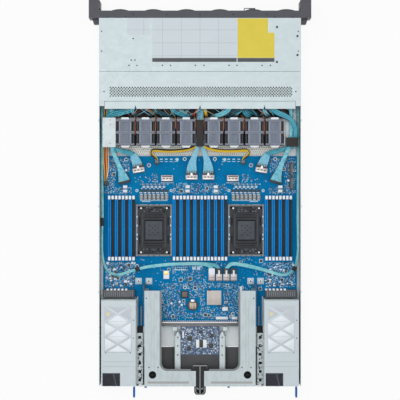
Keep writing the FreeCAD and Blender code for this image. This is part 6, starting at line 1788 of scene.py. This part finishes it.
# Jacket, radius of a wire, number of wires and route of each cable before the fans.
FRONT_CABLES = (
    (TEAL, 1.2, 6, (
        (140, -285, 16, 5), (136, -225, 28, 5), (142, -200, 35, 5), (156, -190, 36, 5), (174, -188, 36, 5),
        (192, -183, 35, 5), (203, -178, 30, 4), (204, -166, 22, 4))),
    (AQUA, 1.1, 4, (
        (165, -285, 14, 3), (160, -222, 26, 3), (158, -200, 32, 3), (166, -186, 33, 3), (182, -181, 30, 3),
        (190, -180, 14, 3))),
    (RIBBON, 1.1, 4, (
        (118, -285, 16, 3), (126, -225, 32, 3), (146, -204, 37, 3), (150, -192, 37, 3), (142, -181, 30, 3),
        (140, -180, 10, 3))),
    (ORANGE, 0.8, 3, (
        (108, -285, 12, 2), (112, -215, 30, 2), (124, -196, 36, 2), (108, -190, 35, 2), (96, -181, 26, 2),
        (96, -180, 8, 2))),
    (DARK_WIRE, 0.9, 6, (
        (70, -285, 12, 5), (84, -220, 28, 5), (104, -198, 34, 4), (96, -189, 36, 4), (74, -184, 35, 3),
        (54, -179, 20, 3), (52, -179, 8, 3))),
    (BROWN, 0.8, 5, (
        (100, -285, 12, 4), (96, -215, 28, 4), (84, -198, 33, 4), (92, -188, 34, 3), (112, -183, 30, 3),
        (118, -180, 9, 3))),
    (TEAL, 1.2, 5, (
        (50, -285, 14, 4), (54, -222, 30, 4), (62, -200, 36, 4), (58, -190, 36, 4), (40, -182, 33, 4),
        (20, -179, 20, 3), (16, -179, 8, 3))),
    (CHIP_TAN, 0.9, 4, (
        (36, -285, 12, 3), (40, -222, 26, 3), (52, -198, 32, 3), (44, -190, 33, 3), (28, -186, 30, 3),
        (22, -180, 9, 3))),
    (YELLOW, 0.9, 3, (
        (-8, -285, 34, 2), (-9, -222, 38, 2), (-10, -200, 39, 2), (-12, -188, 38, 2), (-14, -179, 30, 2),
        (-14, -178, 10, 2))),
    (RED, 0.8, 2, (
        (4, -285, 34, 1), (3, -222, 38, 1), (4, -198, 39, 1), (10, -186, 37, 1), (18, -179, 30, 1),
        (19, -178.6, 10, 1))),
    (AQUA, 1.2, 5, (
        (-72, -285, 16, 4), (-70, -222, 30, 4), (-66, -199, 37, 4), (-60, -190, 38, 4), (-46, -182, 36, 4),
        (-28, -180, 26, 3), (-26, -179, 8, 3))),
    (DARK_WIRE, 1.1, 5, (
        (-110, -285, 12, 3), (-112, -222, 30, 3), (-104, -197, 36, 4), (-92, -194, 38, 4), (-74, -189, 36, 4),
        (-58, -180, 24, 3), (-56, -179, 8, 3))),
    (DARK_WIRE, 0.9, 4, (
        (-84, -285, 12, 3), (-86, -222, 30, 3), (-96, -197, 36, 3), (-112, -190, 37, 3), (-128, -181, 28, 3),
        (-130, -180, 8, 3))),
    (TEAL, 1.2, 6, (
        (-92, -285, 14, 4), (-94, -222, 26, 5), (-96, -196, 32, 6), (-100, -184, 33, 6), (-112, -180, 24, 5),
        (-114, -179, 8, 4))),
    (RIBBON, 1.2, 5, (
        (-128, -285, 14, 4), (-130, -222, 28, 4), (-138, -198, 35, 4), (-142, -186, 35, 4),
        (-148, -180, 26, 4), (-149, -179, 8, 3))),
    (BROWN, 0.8, 4, (
        (-160, -285, 12, 3), (-158, -222, 26, 3), (-150, -198, 30, 3), (-160, -187, 31, 3),
        (-176, -182, 26, 3), (-180, -180, 8, 3))),
    (TEAL, 1.1, 7, (
        (-146, -285, 24, 4), (-147, -228, 33, 4), (-152, -202, 37, 5), (-164, -188, 38, 5),
        (-184, -180, 38, 5), (-199, -172, 37, 4), (-207, -156, 36, 4), (-208, -140, 35, 4),
        (-206, -122, 35, 4), (-198, -110, 29, 3))))
# Lower wires of a flat cable: mostly a darker copy of the upper jacket, painted as shade; black cables take
# deep teal below.
BELOW = {TEAL: DEEP_TEAL, AQUA: TEAL, RIBBON: DEEP_TEAL, BROWN: DARK_WIRE, DARK_WIRE: DEEP_TEAL}
THIN_WIRES = (AQUA, DARK_WIRE, BROWN, PLUG, TEAL, RIBBON)


@dataclass
class CableHarness:
    """Flat ribbons that flare into their plugs, long teal cables, leads, wraps and ties."""

    ribbon_wires: int = 12
    wire: float = 0.9
    wall_reach: tuple = (202.0, 193.0)
    thin_seed: int = 31
    thin_count: int = 54
    thin_start: float = -176.0
    thin_pitch: float = 6.7
    thin_wire: float = 0.55

    def build(self) -> None:
        """Lay every cable; together they stand for the harness of the solids."""
        self._ribbons()
        self._wall_cables()
        self._leads()
        self._front_cables()
        self._thin_wires()
        self._wraps()

    @staticmethod
    def _lay(name: str, routes: Sequence[Sequence[Place]], radius: float, finish: Finish) -> None:
        """Wires that stand for the harness of the solids."""
        run_wires(name, routes, radius, finish, stands_for=["cable_harness"])

    @staticmethod
    def _flat(route: Sequence[Place], wires: int, lift: float, sign: int = 1) -> list:
        """Routes of wires side by side along one flat cable.

        Args:
            route: X, Y, Z and half width of the cable at each control point.
            wires: How many wires.
            lift: How much higher every other wire lies.
            sign: -1 for a cable mirrored to the left.

        Returns:
            The control points of each wire.
        """
        places = [Vector((sign * x, y, z)) for x, y, z, _ in route]
        sides = []
        for before, after in zip(places[:1] + places, places[1:] + places[-1:]):
            run = after - before
            sides.append(Vector((-run.y, run.x, 0)).normalized())
        paths = []
        for k in range(wires):
            share = k / (wires - 1) * 2 - 1
            rise = Vector((0, 0, lift * (k % 2)))
            paths.append(
                [place + side * share * point[3] + rise for place, side, point in zip(places, sides, route)])
        return paths

    def _ribbons(self) -> None:
        """Six data ribbons from the plugs to the backplane."""
        pale, deep, outer = [], [], []
        count, lift = self.ribbon_wires, self.wire
        for sign, wall in zip(SIDES, self.wall_reach):
            for route in (INNER_RIBBON, FAR_FLARE):
                pale += self._flat(route, count, lift, sign)
            deep += self._flat(FAR_RIBBON, count, lift, sign)
            outer += self._flat(
                (*OUTER_RIBBON, (wall, -135, 30, 3), (193, -289, 30, 3)), count + 4, lift, sign)
        self._lay("data_ribbons", pale, self.wire, RIBBON)
        self._lay("data_ribbons_outer", outer, self.wire, SKY)
        # Deep ribbon: lower wires in darker teal, painted as shade between the upper ones.
        self._lay("data_ribbons_deep", deep[1::2], self.wire, TEAL)
        self._lay("data_ribbons_below", deep[::2], self.wire, DEEP_TEAL)

    def _wall_cables(self) -> None:
        """Cables down both walls and across behind the memory."""
        teal = self._flat(WALL_LEFT, 4, 1.6) + self._flat(WALL_RIGHT, 4, 1.6)
        # Upper wires in pale aqua and lower ones in teal, painted highlight and shade along the strands.
        self._lay("wall_cables", teal[1::2], 1, AQUA)
        self._lay("wall_cables_below", teal[::2], 1, TEAL)
        pale = self._flat(ACROSS, 4, 0.8)
        for end in (WALL_LEFT[7:], WALL_RIGHT[8:]):
            pale += self._flat([(x, y, z + 1.6, half) for x, y, z, half in end], 5, 0.6)
        self._lay("wall_cables_pale", pale, 0.8, AQUA)

    def _leads(self) -> None:
        """Yellow and black fan leads that hook back to their plugs, and supply wires by the right wall."""
        yellow, black = [], []
        beside = [(x, y - 3 if i < 5 else y + 1.6, z + 0.4, 0.8) for i, (x, y, z, _) in enumerate(FAN_LEAD)]
        for sign in SIDES:
            yellow += self._flat(FAN_LEAD, 4, 0.5, sign)
            black += self._flat(beside, 2, 0.6, sign)
        self._lay("fan_leads_yellow", yellow, 1, YELLOW)
        self._lay("fan_leads_black", black, 0.95, DARK_WIRE)
        for finish, shifts in SUPPLY_WIRES:
            paths = [
                [(x + dx * (0.4 if i in (0, 4) else 1), y + dx * 1.5, z + dx % 1.3)
                 for i, (x, y, z) in enumerate(SUPPLY_ROUTE)] for dx in shifts]
            self._lay(f"supply_wires_{finish.name}", paths, self.wire, finish)

    def _front_cables(self) -> None:
        """Cables between the middle cover and the fans, from the backplane to the fans and the walls."""
        for n, (finish, radius, wires, route) in enumerate(FRONT_CABLES, 1):
            paths = self._flat(route, wires, radius * 0.8)
            run_wires(f"front_cable_{n}_{finish.name}", paths[1::2], radius, finish)
            # Lower wires take the darker jacket of BELOW, as painted shade.
            other = BELOW.get(finish, finish)
            run_wires(f"front_cable_{n}_{other.name}_below", paths[::2], radius, other)

    def _thin_wires(self) -> None:
        """Thin wires that loop over the cables before the fans."""
        chance = random.Random(self.thin_seed)
        routes: dict[Finish, list] = {finish: [] for finish in THIN_WIRES}
        for k in range(self.thin_count):
            x = self.thin_start + k * self.thin_pitch + chance.uniform(-4, 4)
            lean = chance.choice(SIDES) * chance.uniform(8, 26)
            z = chance.uniform(36, 39)
            routes[THIN_WIRES[k % len(THIN_WIRES)]].append(
                [(x, -230, z - 8), (x + lean * 0.2, -204, z), (x + lean * 0.5, -193, z + 0.6),
                 (x + lean, -186, z), (x + lean * 1.5, -180, z - 6), (x + lean * 1.6, -178.8, 14)])
        for finish, paths in routes.items():
            run_wires(f"thin_wires_{finish.name}", paths, self.thin_wire, finish)

    @staticmethod
    def _wraps() -> None:
        """Black wraps over the cables, and two ties on the wall cables."""
        shape = Shaper()
        shape.box((-7.7, -171, 28.4), (7.7, -113, 41.4), 1.6)
        shape.box((-213.5, -132.5, 32.8), (-187.8, -112.7, 41.4), 1.6)
        for at, turn in (((137, 154.2), 20), ((-206.5, 153.6), 48)):
            shape.slab(at, (5, 4.2), (10.8, 18.6), 0.8, turn=turn)
        shape.box((211, 42, 11), (217.4, 60, 20), 0.8)
        shape.done("cable_wraps", "black_plastic", WRAP, stands_for=["cable_harness"])


def main() -> None:
    """Build the studio and every sub-assembly in order."""
    logging.basicConfig(level=logging.INFO, format="%(message)s")
    Studio().build()
    for assembly in (
            CableHarness(), Case(), DriveBays(), RackEars(), FanBank(), MainBoard(), MemoryBanks(),
            ProcessorSockets(), PowerSupply("left", -214.5), PowerSupply("right", 139.5), RiserCage()):
        assembly.build()
        LOG.info("built %s", type(assembly).__name__)


if __name__ == "__main__":
    main()
